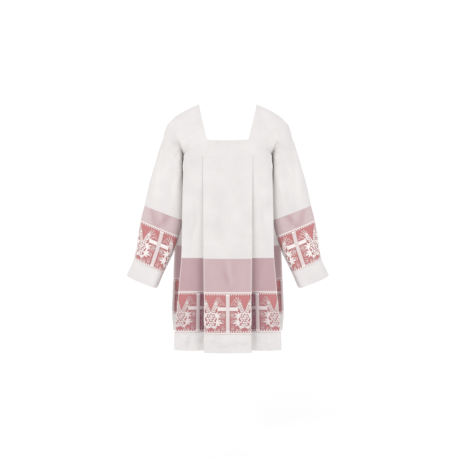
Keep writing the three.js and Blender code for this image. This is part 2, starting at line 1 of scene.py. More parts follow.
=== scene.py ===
"""A white square-necked surplice, filled out as if worn with nobody in it: a yoke, a skirt in box pleats,
wide sleeves, and a net band and a lace band over a coral lining above the hem and the cuffs.

The tables below are in millimetres and repeat the solids' sections; the meshes are built in metres."""

import math
import bpy
import numpy as np
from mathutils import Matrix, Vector


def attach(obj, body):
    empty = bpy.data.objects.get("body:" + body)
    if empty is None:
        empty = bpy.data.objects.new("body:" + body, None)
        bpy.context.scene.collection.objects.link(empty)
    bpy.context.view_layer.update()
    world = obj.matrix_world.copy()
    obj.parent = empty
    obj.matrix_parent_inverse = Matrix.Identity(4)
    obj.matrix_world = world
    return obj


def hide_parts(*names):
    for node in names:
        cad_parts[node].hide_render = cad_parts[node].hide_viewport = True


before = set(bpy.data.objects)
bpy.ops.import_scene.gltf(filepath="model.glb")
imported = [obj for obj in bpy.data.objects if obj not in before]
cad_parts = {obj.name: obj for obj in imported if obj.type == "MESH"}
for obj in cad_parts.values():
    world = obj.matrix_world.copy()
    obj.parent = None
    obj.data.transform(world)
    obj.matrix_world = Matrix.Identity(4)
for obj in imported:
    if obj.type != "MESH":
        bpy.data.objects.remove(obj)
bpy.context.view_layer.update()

MM = 0.001

# Driving sizes
LENGTH = 955
HEM_BAND = 73
LACE_BAND = 162
NET_BAND = 124
YOKE_DROP = 215
CROSS_ARM_DROP = 66
SEAM = 0.3
COTTON = 1.0
HEM_THICK = 1.6
HEM_OFFSET = -0.3
SKIN = 0.8
LINING_OFFSET = -2
LINING_THICK = 0.9

NECK_TIP_X = 114
NECK_CORNER = (78, -146)
BACK_NECK_CORNER = (88, -146)
NECK_SAG = 3
CHEST_DEPTH = 115
SHOULDER_POINT = (212, -54)
SEAM_LIFT = 12
UNDERARM = (173, -YOKE_DROP + SEAM_LIFT)
ARMHOLE_HALF_DEPTH = 76
BOX_TUCK = 69
CROWN = 3
CROWN_LEFT = 0.75
EDGE_OPENING = 8
PANEL_ROUND = 3.2
HOLLOW_ROUND = 2.6
BACK_HOLLOW = 0.4
SIDE_STEPS = 4
SIDE_BULGE = 4

NET_TOP = -(LENGTH - HEM_BAND - LACE_BAND - NET_BAND)
LACE_TOP = NET_TOP - NET_BAND
CROSS_ARM = LACE_TOP - CROSS_ARM_DROP
LACE_BOTTOM = LACE_TOP - LACE_BAND
HEM = -LENGTH

# Sections of the skirt, down from the yoke, in the order that SKIRT_KEYS names
SKIRT_KEYS = ("z", "box", "front", "turn", "valley", "opening", "hollow", "edge", "edge_y", "tuck",
              "seam_x", "lift", "back_front", "back_edge", "back_edge_y", "back_tuck", "back_lift")
SKIRT = (
    (-YOKE_DROP, 94, 116, 1.3, 1.3, 0.1, 0, 168, 80, 0, 172, SEAM_LIFT, 116, 168, 80, 0, SEAM_LIFT),
    (-256, 94, 118, 1.4, 1.4, 0.1, 0.5, 169.5, 88, 3, 173, 4, 120, 177, 88, 4, 4),
    (-322, 93.5, 122, 1.9, 1.7, 0.4, 2, 171, 97, 10, 171, 0, 128, 190, 102, 10, 0),
    (-412, 93, 127, 3.2, 2.2, 1.3, 5, 173, 106, 22, 168, 0, 140, 203, 120, 18, 4),
    (-502, 92.4, 132, 4.8, 2.8, 2.2, 8, 174.5, 112, 32, 170, 0, 153, 214, 134, 26, 14),
    (NET_TOP, 92, 137, 5.6, 3, 2.8, 11, 177, 116, 42, 176, 2, 166, 224, 146, 33, 28),
    (LACE_TOP, 91, 142, 5.6, 3, 3.6, 14, 188, 118, 52, 185, 0, 179, 232, 156, 37, 13),
    (CROSS_ARM, 90.8, 144, 5.6, 3, 4.2, 15, 194.5, 118.5, 55, 189.5, 0, 184, 235.5, 159.5, 38, 15),
    (LACE_BOTTOM, 90.6, 146, 5.6, 3, 5, 16, 204, 119, 58, 196, 1, 190, 239.5, 163.5, 39, 19),
    (HEM, 90.6, 147.5, 5.6, 3, 5.6, 17, 206.5, 120, 60, 200, 6, 194, 234, 166, 40, 17),
)
PANEL_STOPS = (0.045, 0.318, 0.59, 0.82, 0.94, 1)

# Columns across each stretch of half a section: box, fold, legs and valley, panel, outer pleat, side
SECTION_STEPS = (12, 12, 4, 10, 3, 10, 7, 7, 6, 4, 4, 4, 9, 3, 7, 7, 7, 7)

# Points of half a section that lie in the box pleat's fold, under the yoke's seam
FOLD_POINTS = (3, 4, 5)

# Sections of the left sleeve down from the armhole: inner x and z, outer x and z, half depth, y
SLEEVE = (
    (176.5, -223, 236, -80, 75, -1),
    (178.5, -240, 246.5, -109, 74, -3),
    (178, -257, 252, -133, 73, -5),
    (177, -276, 262, -159, 71, -7),
    (174.8, -328, 286.5, -240, 67, -13),
    (173, -390, 308, -315, 64, -19),
    (177, -452, 326, -396, 61, -24),
    (190.5, -512, 340, -451, 59, -25),
    (210, -571, 351, -513, 62, -27),
    (250.5, -655, 366, -601, 69, -30),
    (276.5, -715, 395.5, -667, 71, -32),
)
SLEEVE_NET_TOP = 6
SLEEVE_LACE_TOP = 7
SLEEVE_LACE_BOTTOM = 9
SLEEVE_END = 10
SLEEVE_GIRTH = 436
AROUND = 112
RING_SAMPLES = 721
FRONT_SQUARE = 0.72
INNER_SQUARE = 0.36
ARMHOLE_ROWS = 3
ARMHOLE_CLEAR = 0.2

# Rows of the yoke: the angle round the armhole, the height at the neck and how squarely the row turns
YOKE = ((0, 0, 0.45), (25, -12, 0.5), (50, -38, 0.55), (75, -72, 0.6), (100, -108, 0.66),
        (125, NECK_CORNER[1], 0.72), (152, -180, 0.78), (180, -YOKE_DROP, 0.84))
YOKE_BEND = {"along": 0.33, "along_square": 0.3, "fall": 0.36, "rise": 0.3, "spread": 0.3}
CORNER_ROW = 5
YOKE_ROW_STEPS = 8
NECK_COLUMNS = 16
SHOULDER_COLUMNS = 44
YOKE_SEAM_STEPS = 20
YOKE_SEAM_ROUNDS = 30
YOKE_ROUNDS = 12
YOKE_CENTRE = (0, 0, -0.3)

# Lace: the repeat, the length round a sleeve and the share of the band that is thread
LACE_REPEAT = 128
SLEEVE_LACE_SPAN = 448
LACE_COVER = 0.61

# How far a piece goes under the one above it, how deep it lies there and where it comes out again
LAP = 2.5
LAP_DEPTH = 1.15
LAP_RISE = 0.2
LAP_CREST = 0.1

# Edges that turn by more degrees than this are crisp
RIM_ANGLE = 55

# The least area that declare works out for a sheet, as a share of its width times its length
LEAST_AREA = 0.301


def lerp(a, b, s):
    return a + (b - a) * s


def distances(line):
    """How far along a line each of its points is."""
    return np.concatenate([[0], np.cumsum(np.linalg.norm(np.diff(line, axis=0), axis=1))])


def resampled(line, stops):
    """Points at the given distances along a line."""
    along = distances(line)
    return np.column_stack([np.interp(stops, along, line[:, k]) for k in range(line.shape[1])])


def smooth_table(rows, t):
    """The table's values at fractional row t, on a curve through its rows."""
    rows = np.array(rows, float)
    t = min(max(t, 0), len(rows) - 1)
    k = min(int(t), len(rows) - 2)
    s = t - k
    a, b = rows[k], rows[k + 1]
    slope_a = (b - rows[k - 1]) / 2 if k > 0 else b - a
    slope_b = (rows[k + 2] - a) / 2 if k + 2 < len(rows) else b - a
    s2, s3 = s * s, s * s * s
    return ((2 * s3 - 3 * s2 + 1) * a + (s3 - 2 * s2 + s) * slope_a
            + (3 * s2 - 2 * s3) * b + (s3 - s2) * slope_b)


def section_at(z):
    """The skirt's section at height z, by name."""
    heights = [row[0] for row in SKIRT]
    k = 0
    while k < len(heights) - 2 and z < heights[k + 1]:
        k += 1
    s = (heights[k] - z) / (heights[k] - heights[k + 1])
    values = dict(zip(SKIRT_KEYS, smooth_table(SKIRT, k + s)))
    values["z"] = z
    return values


def half_section(c, back):
    """Corners of half a section in plan, from the middle to the side seam, as the solids have them."""
    prefix = "back_" if back else ""
    front, edge, edge_y, tuck = (c[prefix + key] for key in ("front", "edge", "edge_y", "tuck"))
    box, turn, valley, opening = (c[key] for key in ("box", "turn", "valley", "opening"))
    hollow = c["hollow"] * (BACK_HOLLOW if back else 1)
    box_y = front - CROWN
    valley_y = box_y - turn - opening
    panel_y = valley_y - valley - opening
    points = [
        (0, -front),
        (box / 2, -(box_y + CROWN * CROWN_LEFT)),
        (box, -box_y),
        (box, -box_y + turn),
        (box - BOX_TUCK, -valley_y),
        (box - BOX_TUCK, -valley_y + valley),
    ]
    for s in PANEL_STOPS:
        depth = lerp(panel_y, edge_y, s ** PANEL_ROUND) - hollow * (1 - s) ** HOLLOW_ROUND
        points.append((lerp(box, edge, s), -depth))
    leg_y = edge_y - turn - EDGE_OPENING
    points += [(edge, -edge_y + turn), (edge - tuck, -leg_y), (edge - tuck, -leg_y + valley)]
    start = points[-1]
    for k in range(1, SIDE_STEPS + 1):
        s = k / SIDE_STEPS
        bulge = min(SIDE_BULGE, tuck / 4) * math.sin(math.pi * s)
        points.append((lerp(start[0], c["seam_x"], s) + bulge, lerp(start[1], -SEAM / 2, s)))
    return np.array(points, float)


def refine(points, steps, rounds=3):
    """Divides each stretch of a line into the given steps, then rounds its corners a little."""
    fine = [points[0]]
    for a, b, count in zip(points[:-1], points[1:], steps):
        fine += [lerp(a, b, k / count) for k in range(1, count + 1)]
    fine = np.array(fine)
    for _ in range(rounds):
        inner = fine[1:-1] * 0.5 + (fine[:-2] + fine[2:]) * 0.25
        inner[0, 1] = fine[1, 1]
        fine[1:-1] = inner
    return fine


def skirt_line(z, back):
    """A whole front or back section, anticlockwise seen from above."""
    half = refine(half_section(section_at(z), back), SECTION_STEPS)
    if back:
        half = half * (1, -1)
    line = np.concatenate([half[:0:-1] * (-1, 1), half])
    return line[::-1] if back else line


def skirt_grid(top, bottom, back, step):
    """Rows of points down the skirt between two heights, in metres."""
    count = max(2, round((top - bottom) / step))
    rows = []
    for k in range(count + 1):
        z = lerp(top - SEAM / 2, bottom + SEAM / 2, k / count)
        c = section_at(z)
        line = skirt_line(z, back)
        share = np.clip(line[:, 1] / c["back_edge_y"], 0, 1)
        rise = lerp(c["lift"], c["back_lift"], share) * np.minimum(1, np.abs(line[:, 0]) / c["edge"]) ** 2
        rows.append(np.column_stack([line, z + rise]))
    return np.array(rows) * MM


def normals(grid, centre, closed=False):
    """Unit normals of a grid of points, away from the centre."""
    if closed:
        across = np.roll(grid, -1, axis=1) - np.roll(grid, 1, axis=1)
    else:
        across = np.gradient(grid, axis=1)
    n = np.cross(np.gradient(grid, axis=0), across)
    n /= np.maximum(np.linalg.norm(n, axis=2, keepdims=True), 1e-12)
    return n * np.sign(np.sum(n * (grid - centre)))


def skirt_normals(grid):
    return normals(grid, (0, 0, grid[:, :, 2].mean()))


def sleeve_normals(grid):
    return normals(grid, grid.mean(axis=1, keepdims=True), closed=True)


def make_object(name, points, faces, uvs=None, tone=None, smooth=True):
    """A mesh in the scene. tone is -1 where the colour is deepest and 1 where it is palest."""
    mesh = bpy.data.meshes.new(name)
    mesh.from_pydata(np.asarray(points).tolist(), [], [tuple(map(int, face)) for face in faces])
    if uvs is not None:
        layer = mesh.uv_layers.new(name="cloth")
        layer.data.foreach_set("uv", uvs.astype(np.float32).ravel())
    if tone is not None:
        mesh.attributes.new("tone", "FLOAT", "POINT").data.foreach_set("value", tone.astype(np.float32))
    mesh.polygons.foreach_set("use_smooth", np.full(len(faces), smooth))
    mesh.update()
    if smooth:
        mesh.set_sharp_from_angle(angle=math.radians(RIM_ANGLE))
    obj = bpy.data.objects.new(name, mesh)
    bpy.context.collection.objects.link(obj)
    return obj


def grid_faces(rows, columns, closed):
    """Quads of a grid as (row, column) corners, four to a face."""
    last = columns if closed else columns - 1
    r, c = np.meshgrid(np.arange(rows - 1), np.arange(last), indexing="ij")
    r, c = r.ravel(), c.ravel()
    turns = ((0, 0), (1, 0), (1, 1), (0, 1))
    return np.stack([np.stack([r + down, c + right], 1) for down, right in turns], 1)


def cloth_coordinates(grid, corners, closed):
    """Texture coordinates of a grid's faces: metres along its middle row and up its middle column."""
    row = grid[len(grid) // 2]
    u = distances(np.concatenate([row, row[:1]]) if closed else row)
    v = distances(grid[:, grid.shape[1] // 2])
    return np.stack([u[corners[..., 1]], -v[corners[..., 0]]], -1)


def shell(name, grid, normal, thickness, closed=False, offset=0, keep=None, tone=None):
    """A closed cloth wall on a grid of points. keep(row, column) leaves out faces where there is no cloth.
    tone is one value for each point of the grid."""
    rows, columns = grid.shape[:2]
    outer = grid + normal * (offset + thickness / 2) * MM
    inner = grid + normal * (offset - thickness / 2) * MM
    points = np.concatenate([outer.reshape(-1, 3), inner.reshape(-1, 3)])
    corners = grid_faces(rows, columns, closed)
    if keep is not None:
        corners = corners[[keep(r, c) for r, c in corners[:, 0]]]
    index = corners[..., 0] * columns + corners[..., 1] % columns
    size = rows * columns
    uv = cloth_coordinates(grid, corners, closed)
    rim_index, rim_uv = rim_faces(index, uv, size)
    faces = np.concatenate([index, index[:, ::-1] + size, rim_index])
    uvs = np.concatenate([uv, uv[:, ::-1], rim_uv])
    facing = np.cross(points[index[0, 1]] - points[index[0, 0]], points[index[0, 2]] - points[index[0, 0]])
    if np.dot(facing, normal.reshape(-1, 3)[index[0, 0]]) < 0:
        faces, uvs = faces[:, ::-1], uvs[:, ::-1]
    used = np.unique(faces)
    renumber = np.zeros(2 * size, int)
    renumber[used] = np.arange(len(used))
    if tone is not None:
        tone = np.broadcast_to(tone, (rows, columns)).ravel()[used % size]
    return make_object(name, points[used], renumber[faces], uvs.reshape(-1, 2), tone)


def rim_faces(index, uv, size):
    """Faces that join the outer and inner surfaces along every free edge."""
    owners = {}
    for f, face in enumerate(index):
        for k in range(4):
            owners.setdefault(frozenset((face[k], face[(k + 1) % 4])), []).append((f, k))
    rim, rim_uv = [], []
    for found in owners.values():
        if len(found) == 1:
            f, k = found[0]
            n = (k + 1) % 4
            a, b = index[f, k], index[f, n]
            rim.append((b, a, a + size, b + size))
            rim_uv.append((uv[f, n], uv[f, k], uv[f, k], uv[f, n]))
    return np.array(rim), np.array(rim_uv)


def onwards(row, next_row):
    """The direction at each point from one row of a grid to the next."""
    way = next_row - row
    return way / np.linalg.norm(way, axis=1, keepdims=True)


def tucked(grid, normal):
    """Adds rows at the top of a piece that go under the piece above it."""
    up = onwards(grid[1], grid[0])
    under = grid[0] - normal[0] * LAP_DEPTH * MM
    grid = grid.copy()
    grid[0] += up * LAP_RISE * MM
    grid = np.concatenate([[under + up * LAP * MM, under + up * (LAP_RISE + LAP_CREST) * MM], grid])
    return grid, np.concatenate([normal[:1], normal[:1], normal])


def lengthened(grid, normal):
    """Adds a row at the foot of a piece that goes down behind the piece below it."""
    foot = grid[-1] + onwards(grid[-2], grid[-1]) * LAP * MM
    return np.concatenate([grid, [foot]]), np.concatenate([normal, normal[-1:]])


def ridge(p, q, start, end, width, height):
    """A soft crease along a straight line over coordinates p and q, fading at both ends."""
    dx, dy = end[0] - start[0], end[1] - start[1]
    length = math.hypot(dx, dy)
    along = ((p - start[0]) * dx + (q - start[1]) * dy) / length
    aside = ((p - start[0]) * dy - (q - start[1]) * dx) / length
    fade = np.clip(along / length, 0, 1) * np.clip(1 - along / length, 0, 1) * 4
    return height * np.exp(-(aside / width) ** 2) * np.sqrt(np.clip(fade, 0, 1))


def ridges(p, q, rows, strength=1):
    """Several creases together, each given as start, end, width and height."""
    return sum(ridge(p, q, start, end, width, height * strength) for start, end, width, height in rows)


def soft_waves(p, q, height, phase):
    """The slight unevenness of hanging cloth."""
    waves = ((0.021, 0.006, 1.0), (-0.013, 0.011, 0.8), (0.034, -0.009, 0.45), (0.008, 0.023, 0.6))
    total = 0
    for k, (a, b, share) in enumerate(waves):
        total = total + share * np.sin(a * p + b * q + phase + 1.7 * k)
    return height * total / 2


def end_fade(count, at_start, at_end):
    """0 at both ends of a row or column of points and 1 away from them, so that seams stay in place."""
    k = np.arange(count)
    return np.minimum(1, k / at_start) * np.minimum(1, (count - 1 - k) / at_end)


def displaced(grid, normal, height):
    return grid + normal * (height * MM)[..., None]


# Creases of the skirt as seen from the front: start and end as x and z, width, height
SKIRT_CREASES = (
    ((-60, -240), (-48, -560), 16, 2.2),
    ((34, -260), (52, -590), 20, 2.0),
    ((-150, -235), (-128, -480), 9, 3.2),
    ((152, -240), (134, -500), 10, 3.0),
    ((-112, -420), (-150, -600), 12, -2.6),
    ((118, -400), (154, -600), 12, -2.4),
    ((4, -300), (-14, -590), 24, -1.8),
    ((-30, -225), (-78, -330), 10, 1.4),
    ((26, -225), (80, -340), 10, 1.4),
)
NET_CREASES = (
    ((-22, -598), (2, -716), 7, 2.4),
    ((30, -598), (6, -716), 7, 2.2),
    ((-68, -600), (-40, -712), 9, -1.6),
    ((70, -600), (48, -714), 9, -1.4),
    ((-160, -598), (-136, -716), 8, 2.0),
    ((164, -598), (142, -716), 8, 1.8),
)
HEM_CREASES = (
    ((-84, -900), (-20, -914), 6, 4.9),
    ((-46, -936), (34, -928), 7, -5.2),
    ((10, -902), (80, -916), 7, 4.9),
    ((-50, -884), (-40, -952), 9, 4.7),
    ((26, -884), (34, -952), 8, -4.7),
    ((150, -884), (160, -950), 9, 5.2),
    ((-140, -884), (-152, -950), 9, -5.2),
    ((108, -908), (190, -922), 7, 4.9),
    ((-104, -918), (-186, -906), 7, 4.9),
)

# Where the unevenness starts at the front and the back, how strong the creases are at the back, and how
# strong the net's painted streaks of shade and sheen are there
FRONT_PHASE = 0.4
BACK_PHASE = 2.1
BACK_CREASES = 0.8
BACK_STREAKS = 0.5
SKIRT_FADE = 3


def creased_skirt(top, bottom, back, creases, step=6, waves=1.5):
    """The grid and the normals of a skirt piece between two heights."""
    grid = skirt_grid(top, bottom, back, step)
    normal = skirt_normals(grid)
    x, z = grid[..., 0] / MM, grid[..., 2] / MM
    height = soft_waves(x, z, waves, BACK_PHASE if back else FRONT_PHASE) + ridges(x, z, creases)
    flat_face = normal[..., 1] ** 2
    grid = displaced(grid, normal, height * flat_face * end_fade(len(grid), SKIRT_FADE, SKIRT_FADE)[:, None])
    normal = skirt_normals(grid)
    ends = normal[:, (0, -1)] * (1, 0, 1)
    normal[:, (0, -1)] = ends / np.linalg.norm(ends, axis=2, keepdims=True)
    return grid, normal


# How deep or pale each cloth is at these columns, counted from the middle of the box pleat to the side seam.
# On the net, the lace and the lining the deep tones are painted shade: in the recesses beside the box pleat,
# and on the net and the lace also on the panels and sides that lie further back. The pale tones at the
# pleats' folds on the net and the lace are painted highlights
TONE_STOPS = (0, 1.6, 2.2, 22.6, 24, 28, 30, 49, 52, 58, 65, 76, 77.5, 83, 86, 123)
NET_TONE = (-0.1, -0.1, -0.15, -0.15, 1.3, 1.3, -0.8, -0.8, -0.7, -0.7, -0.65, -0.65, 1.3, 1.3, -0.4, -0.25)
LACE_TONE = (0.25, 0.25, 0.65, 0.65, 0.7, 0.4, -1, -1, -0.9, 0, 0.25, 0.25, 0.4, 0.4, -0.7, -0.5)
LINING_TONE = (1, 1, 1, 1, 1, 0.2, -1, -1, -0.8, 0.1, 0.8, 1, 1, 1, 1, 1)
# The cotton's tones are painted light that lifts the shade low in the recesses beside the box pleat and high
# up on the sides beside the sleeves
COTTON_PAINTED_LIGHT = (0, 0, 0, 0, 0, 0.23, 0.57, 0.57, 0.57, 0.17, 0, 0, 0, 0, 0, 0)
COTTON_SIDE_PAINTED_LIGHT = (0, 0, 0, 0, 0, 0, 0, 0, 0, 0, 0, 0, 0, 0.9, 1, 1)
# Columns of the pleats' folds, where pale strips are laid on the lace as painted highlights
FOLD_COLUMNS = (23.3, 77.6)

# How much deeper the lining is at its foot, how the cotton's painted light grows and fades down the skirt,
# and how much of it the hem has
LINING_DEEPER = 0.5
COTTON_GROWTH = 1.5
SIDE_FADE = 1.6
HEM_SHARE = 0.4

# Painted streaks of shade and sheen on the net, darker where the tone falls and paler where it rises: start
# and end as x and z, width, change of tone
NET_STREAKS = (
    ((-26, -604), (3, -690), 10, -0.20),
    ((30, -604), (6, -690), 10, -0.16),
    ((2, -600), (16, -700), 8, 0.45),
    ((-12, -640), (8, -716), 10, -0.30),
    ((-150, -600), (-120, -716), 12, 0.20),
    ((152, -600), (126, -716), 12, 0.20),
    ((-66, -600), (-48, -716), 14, 0.10),
    ((62, -600), (50, -716), 14, 0.10),
)

# Painted streaks of a sleeve's cotton and net, painted highlights on the cotton and painted shade and sheen
# on the net: start and end as shares of the way round and down, width, change
COTTON_HIGHLIGHT_STREAKS = (
    ((0.12, 0.30), (0.20, 0.98), 0.03, 0.12),
    ((0.30, 0.12), (0.20, 0.62), 0.02, 0.12),
    ((0.34, 0.25), (0.31, 1.00), 0.02, 0.12),
    ((0.70, 0.20), (0.80, 0.90), 0.03, 0.12),
)
SLEEVE_NET_SHADE_AND_SHEEN_STREAKS = (
    ((0.15, 0), (0.22, 1), 0.022, -0.65),
    ((0.31, 0), (0.24, 1), 0.022, -0.65),
    ((0.22, 0), (0.29, 1), 0.02, 0.4),
    ((0.36, 0), (0.33, 1), 0.03, 0.3),
)

# Tones round a sleeve, each as a share of the way round and a tone. The cotton and the cuff are painted paler
# at the sleeve's inner side, painted light that lifts its shade there. The net is painted darker across the
# front as painted shade, and paler at the inner side as painted light
SLEEVE_COTTON_PAINTED_LIGHT = ((0, 0), (0.38, 0), (0.46, 1), (0.58, 1), (0.68, 0), (1, 0))
SLEEVE_NET_LEVEL = ((0, 0.6), (0.12, 0.6), (0.25, 0.1), (0.42, 0.2), (0.5, 0.6), (1, 0.3))
CUFF_PAINTED_LIGHT = ((0, 0), (0.25, 0), (0.42, 0.15), (0.5, 0.9), (0.7, 0), (1, 0))
SLEEVE_LINING_TONE = 0.9
# Painted shade on the uprights of the sleeve lace's crosses, against the ground's tone
SLEEVE_CROSS_SHADE = 0.3
SLEEVE_GROUND_TONE = 1


def across_half(grid, values):
    """A tone table's values for every column of a skirt piece."""
    columns = grid.shape[1]
    return np.interp(np.abs(np.arange(columns) - columns // 2), TONE_STOPS, values)


def net_tone(grid, back):
    """The tone of every point of the net: painted shade beside the box pleat and on the panels and sides,
    painted highlights along the pleats' folds, and painted streaks of shade and sheen.
    """
    streaks = ridges(grid[..., 0] / MM, grid[..., 2] / MM, NET_STREAKS, BACK_STREAKS if back else 1)
    return across_half(grid, NET_TONE) + streaks


def lining_tone(grid):
    """The tone of every point of the lining: painted shade in the recesses beside the box pleat, and deeper
    towards its foot.
    """
    return across_half(grid, LINING_TONE) - LINING_DEEPER * np.linspace(0, 1, len(grid))[:, None] ** 2


def skirt_painted_light(grid):
    """The cotton is painted paler low in its pleats' recesses and high up on the sides beside the sleeves:
    painted light that lifts their shade.
    """
    down = np.linspace(0, 1, len(grid))[:, None]
    beside_sleeve = np.clip(SIDE_FADE * (1 - down), 0, 1) * across_half(grid, COTTON_SIDE_PAINTED_LIGHT)
    return down ** COTTON_GROWTH * across_half(grid, COTTON_PAINTED_LIGHT) + beside_sleeve


def sleeve_tone(grid, level, streaks=()):
    """The tone of every point of a sleeve, from a level given as share round and tone, and from streaks."""
    rows, columns = grid.shape[:2]
    share = np.arange(columns) / columns
    down = np.linspace(0, 1, rows)[:, None]
    return np.interp(share, *zip(*level)) + ridges(share, down, streaks)


def armhole_point(angle):
    """A point of the armhole's front half, by its angle in degrees down from the shoulder."""
    turn = math.radians(angle)
    x, z = (np.add(SHOULDER_POINT, UNDERARM) + np.subtract(SHOULDER_POINT, UNDERARM) * math.cos(turn)) / 2
    return np.array([x, -ARMHOLE_HALF_DEPTH * math.sin(turn), z])


def yoke_seam(corner_x):
    """The yoke's lower edge along the top of the skirt, from the middle to the side."""
    line = np.delete(half_section(section_at(-YOKE_DROP), False), FOLD_POINTS, axis=0)
    line = refine(line, (YOKE_SEAM_STEPS,) * (len(line) - 1), YOKE_SEAM_ROUNDS)
    stops = np.concatenate([
        np.linspace(0, corner_x, NECK_COLUMNS + 1)[:-1],
        np.linspace(corner_x, distances(line)[-1], SHOULDER_COLUMNS + 1),
    ])
    line = resampled(line, stops)
    edge = SKIRT[0][SKIRT_KEYS.index("edge")]
    z = -YOKE_DROP + SEAM_LIFT * np.minimum(1, line[:, 0] / edge) ** 2 + SEAM / 2
    return np.column_stack([line, z])


def yoke_row(t, corner):
    """One row of half the front yoke at fractional table row t, from the middle to the armhole."""
    last = len(YOKE) - 2
    if t > last:
        return lerp(yoke_row(last, corner), yoke_seam(corner[0]), t - last)
    angle, neck_z, square = smooth_table(YOKE, t) if t > 0 else YOKE[0]
    depth = CHEST_DEPTH * math.sqrt(max(0, 1 - (1 + neck_z / YOKE_DROP) ** 2))
    down = min(1, neck_z / corner[1])
    neck = np.array([lerp(NECK_TIP_X, corner[0], down), -depth, neck_z])
    arm = armhole_point(angle)
    reach = YOKE_BEND["along"] + YOKE_BEND["along_square"] * square
    first = np.array([lerp(neck[0], arm[0], reach), neck[1], lerp(neck[2], arm[2], YOKE_BEND["fall"])])
    second = np.array([
        lerp(arm[0], neck[0], YOKE_BEND["spread"] * (1 - square)),
        lerp(arm[1], neck[1], square),
        lerp(arm[2], neck[2], YOKE_BEND["rise"]),
    ])
    points = []
    for k in range(NECK_COLUMNS):
        s = k / NECK_COLUMNS
        sag = NECK_SAG * (1 - s * s) * max(0, 1 - abs(t - CORNER_ROW))
        points.append((neck[0] * s, neck[1], neck[2] - sag))
    for k in range(SHOULDER_COLUMNS + 1):
        s = k / SHOULDER_COLUMNS
        weights = ((1 - s) ** 3, 3 * s * (1 - s) ** 2, 3 * s * s * (1 - s), s ** 3)
        points.append(sum(w * p for w, p in zip(weights, (neck, first, second, arm))))
    return np.array(points)


# Creases of the yoke as x and z seen from the front, each made on both sides
YOKE_CREASES = (
    ((120, -28), (150, -120), 16, -2.4),
    ((150, -30), (176, -110), 12, 2.2),
    ((100, -152), (150, -200), 9, 1.8),
    ((20, -160), (60, -206), 14, -1.4),
    ((70, -168), (10, -200), 12, 1.2),
)

# Folds that cross the armholes, given in the same way, and where they fade towards the top
SHOULDER_FOLDS = (
    ((142, -112), (212, -160), 6, 5.0),
    ((138, -132), (206, -178), 8, -2.2),
    ((150, -150), (204, -196), 7, 2.6),
    ((176, -66), (240, -160), 14, 2.4),
    ((196, -60), (262, -150), 12, -2.0),
)
FOLD_DEPTH = 40
BACK_FOLDS = 0.6
BACK_YOKE_CREASES = 0.5

# Rows and columns over which the yoke's creases fade at its shoulder, its lower seam and its armholes, and
# the height and phase of its unevenness
SHOULDER_FADE = 6
YOKE_SEAM_FADE = 5
ARMHOLE_FADE = 8
YOKE_WAVES = (1.2, 1.0)

# The yoke's cotton is painted paler beside the underarm, painted light that lifts the shade of its folds
# there: by how much, from which x and z, and over what distance
YOKE_PALE = 0.6
YOKE_PALE_X = 152
YOKE_PALE_Z = -112
YOKE_PALE_FADE = 40


def folded_at_shoulder(grid):
    """Presses the folds that cross the armholes into a piece, alike on both sides of the seam."""
    x, y, z = np.abs(grid[..., 0]) / MM, grid[..., 1] / MM, grid[..., 2] / MM
    height = ridges(x, z, SHOULDER_FOLDS)
    height = height * np.clip(np.abs(y) / FOLD_DEPTH, 0, 1) * np.where(y < 0, 1, BACK_FOLDS)
    moved = grid.copy()
    moved[..., 1] += np.sign(y) * height * MM
    return moved


def relaxed(grid, free):
    """Evens out a grid, leaving the points where free is 0."""
    weight = free[..., None] * 0.5
    for _ in range(YOKE_ROUNDS):
        around = grid.copy()
        around[1:-1, 1:-1] = (grid[:-2, 1:-1] + grid[2:, 1:-1] + grid[1:-1, :-2] + grid[1:-1, 2:]) / 4
        grid = lerp(grid, around, weight)
    return grid


def smooth_yoke(back):
    """The front yoke's grid before it is creased, its middle column and the row of its neck's lower edge."""
    neck_corner = BACK_NECK_CORNER if back else NECK_CORNER
    steps = (len(YOKE) - 1) * YOKE_ROW_STEPS
    half = np.array([yoke_row(k / YOKE_ROW_STEPS, neck_corner) for k in range(steps + 1)])
    half[0, :, 1] -= SEAM / 2
    grid = np.concatenate([half[:, :0:-1] * (-1, 1, 1), half], axis=1) * MM
    middle = grid.shape[1] // 2
    corner = CORNER_ROW * YOKE_ROW_STEPS
    left, right = middle - NECK_COLUMNS, middle + NECK_COLUMNS
    free = np.ones(grid.shape[:2])
    free[(0, -1), :] = 0
    free[:, (0, -1)] = 0
    free[:corner + 1, left:right + 1] = 0
    return relaxed(grid, free), middle, corner


def yoke_grid(back):
    """The creased grid of one side of the yoke, its normals, its middle column and its neck's lowest row."""
    grid, middle, corner = smooth_yoke(back)
    x, z = grid[..., 0] / MM, grid[..., 2] / MM
    strength = BACK_YOKE_CREASES if back else 1
    height = soft_waves(x, z, *YOKE_WAVES) + ridges(np.abs(x), z, YOKE_CREASES, strength)
    rows, columns = height.shape
    down = end_fade(rows, SHOULDER_FADE, YOKE_SEAM_FADE)[:, None]
    fade = down * end_fade(columns, ARMHOLE_FADE, ARMHOLE_FADE)
    grid = displaced(grid, normals(grid, YOKE_CENTRE), height * fade)
    if back:
        grid = grid * (1, -1, 1)
    grid = folded_at_shoulder(grid)
    return grid, normals(grid, YOKE_CENTRE), middle, corner


def yoke_painted_light(grid):
    """The yoke's cotton is painted paler beside the underarm: painted light that lifts the shade of its folds
    there.
    """
    outwards = np.clip((np.abs(grid[..., 0]) / MM - YOKE_PALE_X) / YOKE_PALE_FADE, 0, 1)
    down = np.clip((YOKE_PALE_Z - grid[..., 2] / MM) / YOKE_PALE_FADE, 0, 1)
    return YOKE_PALE * outwards * down


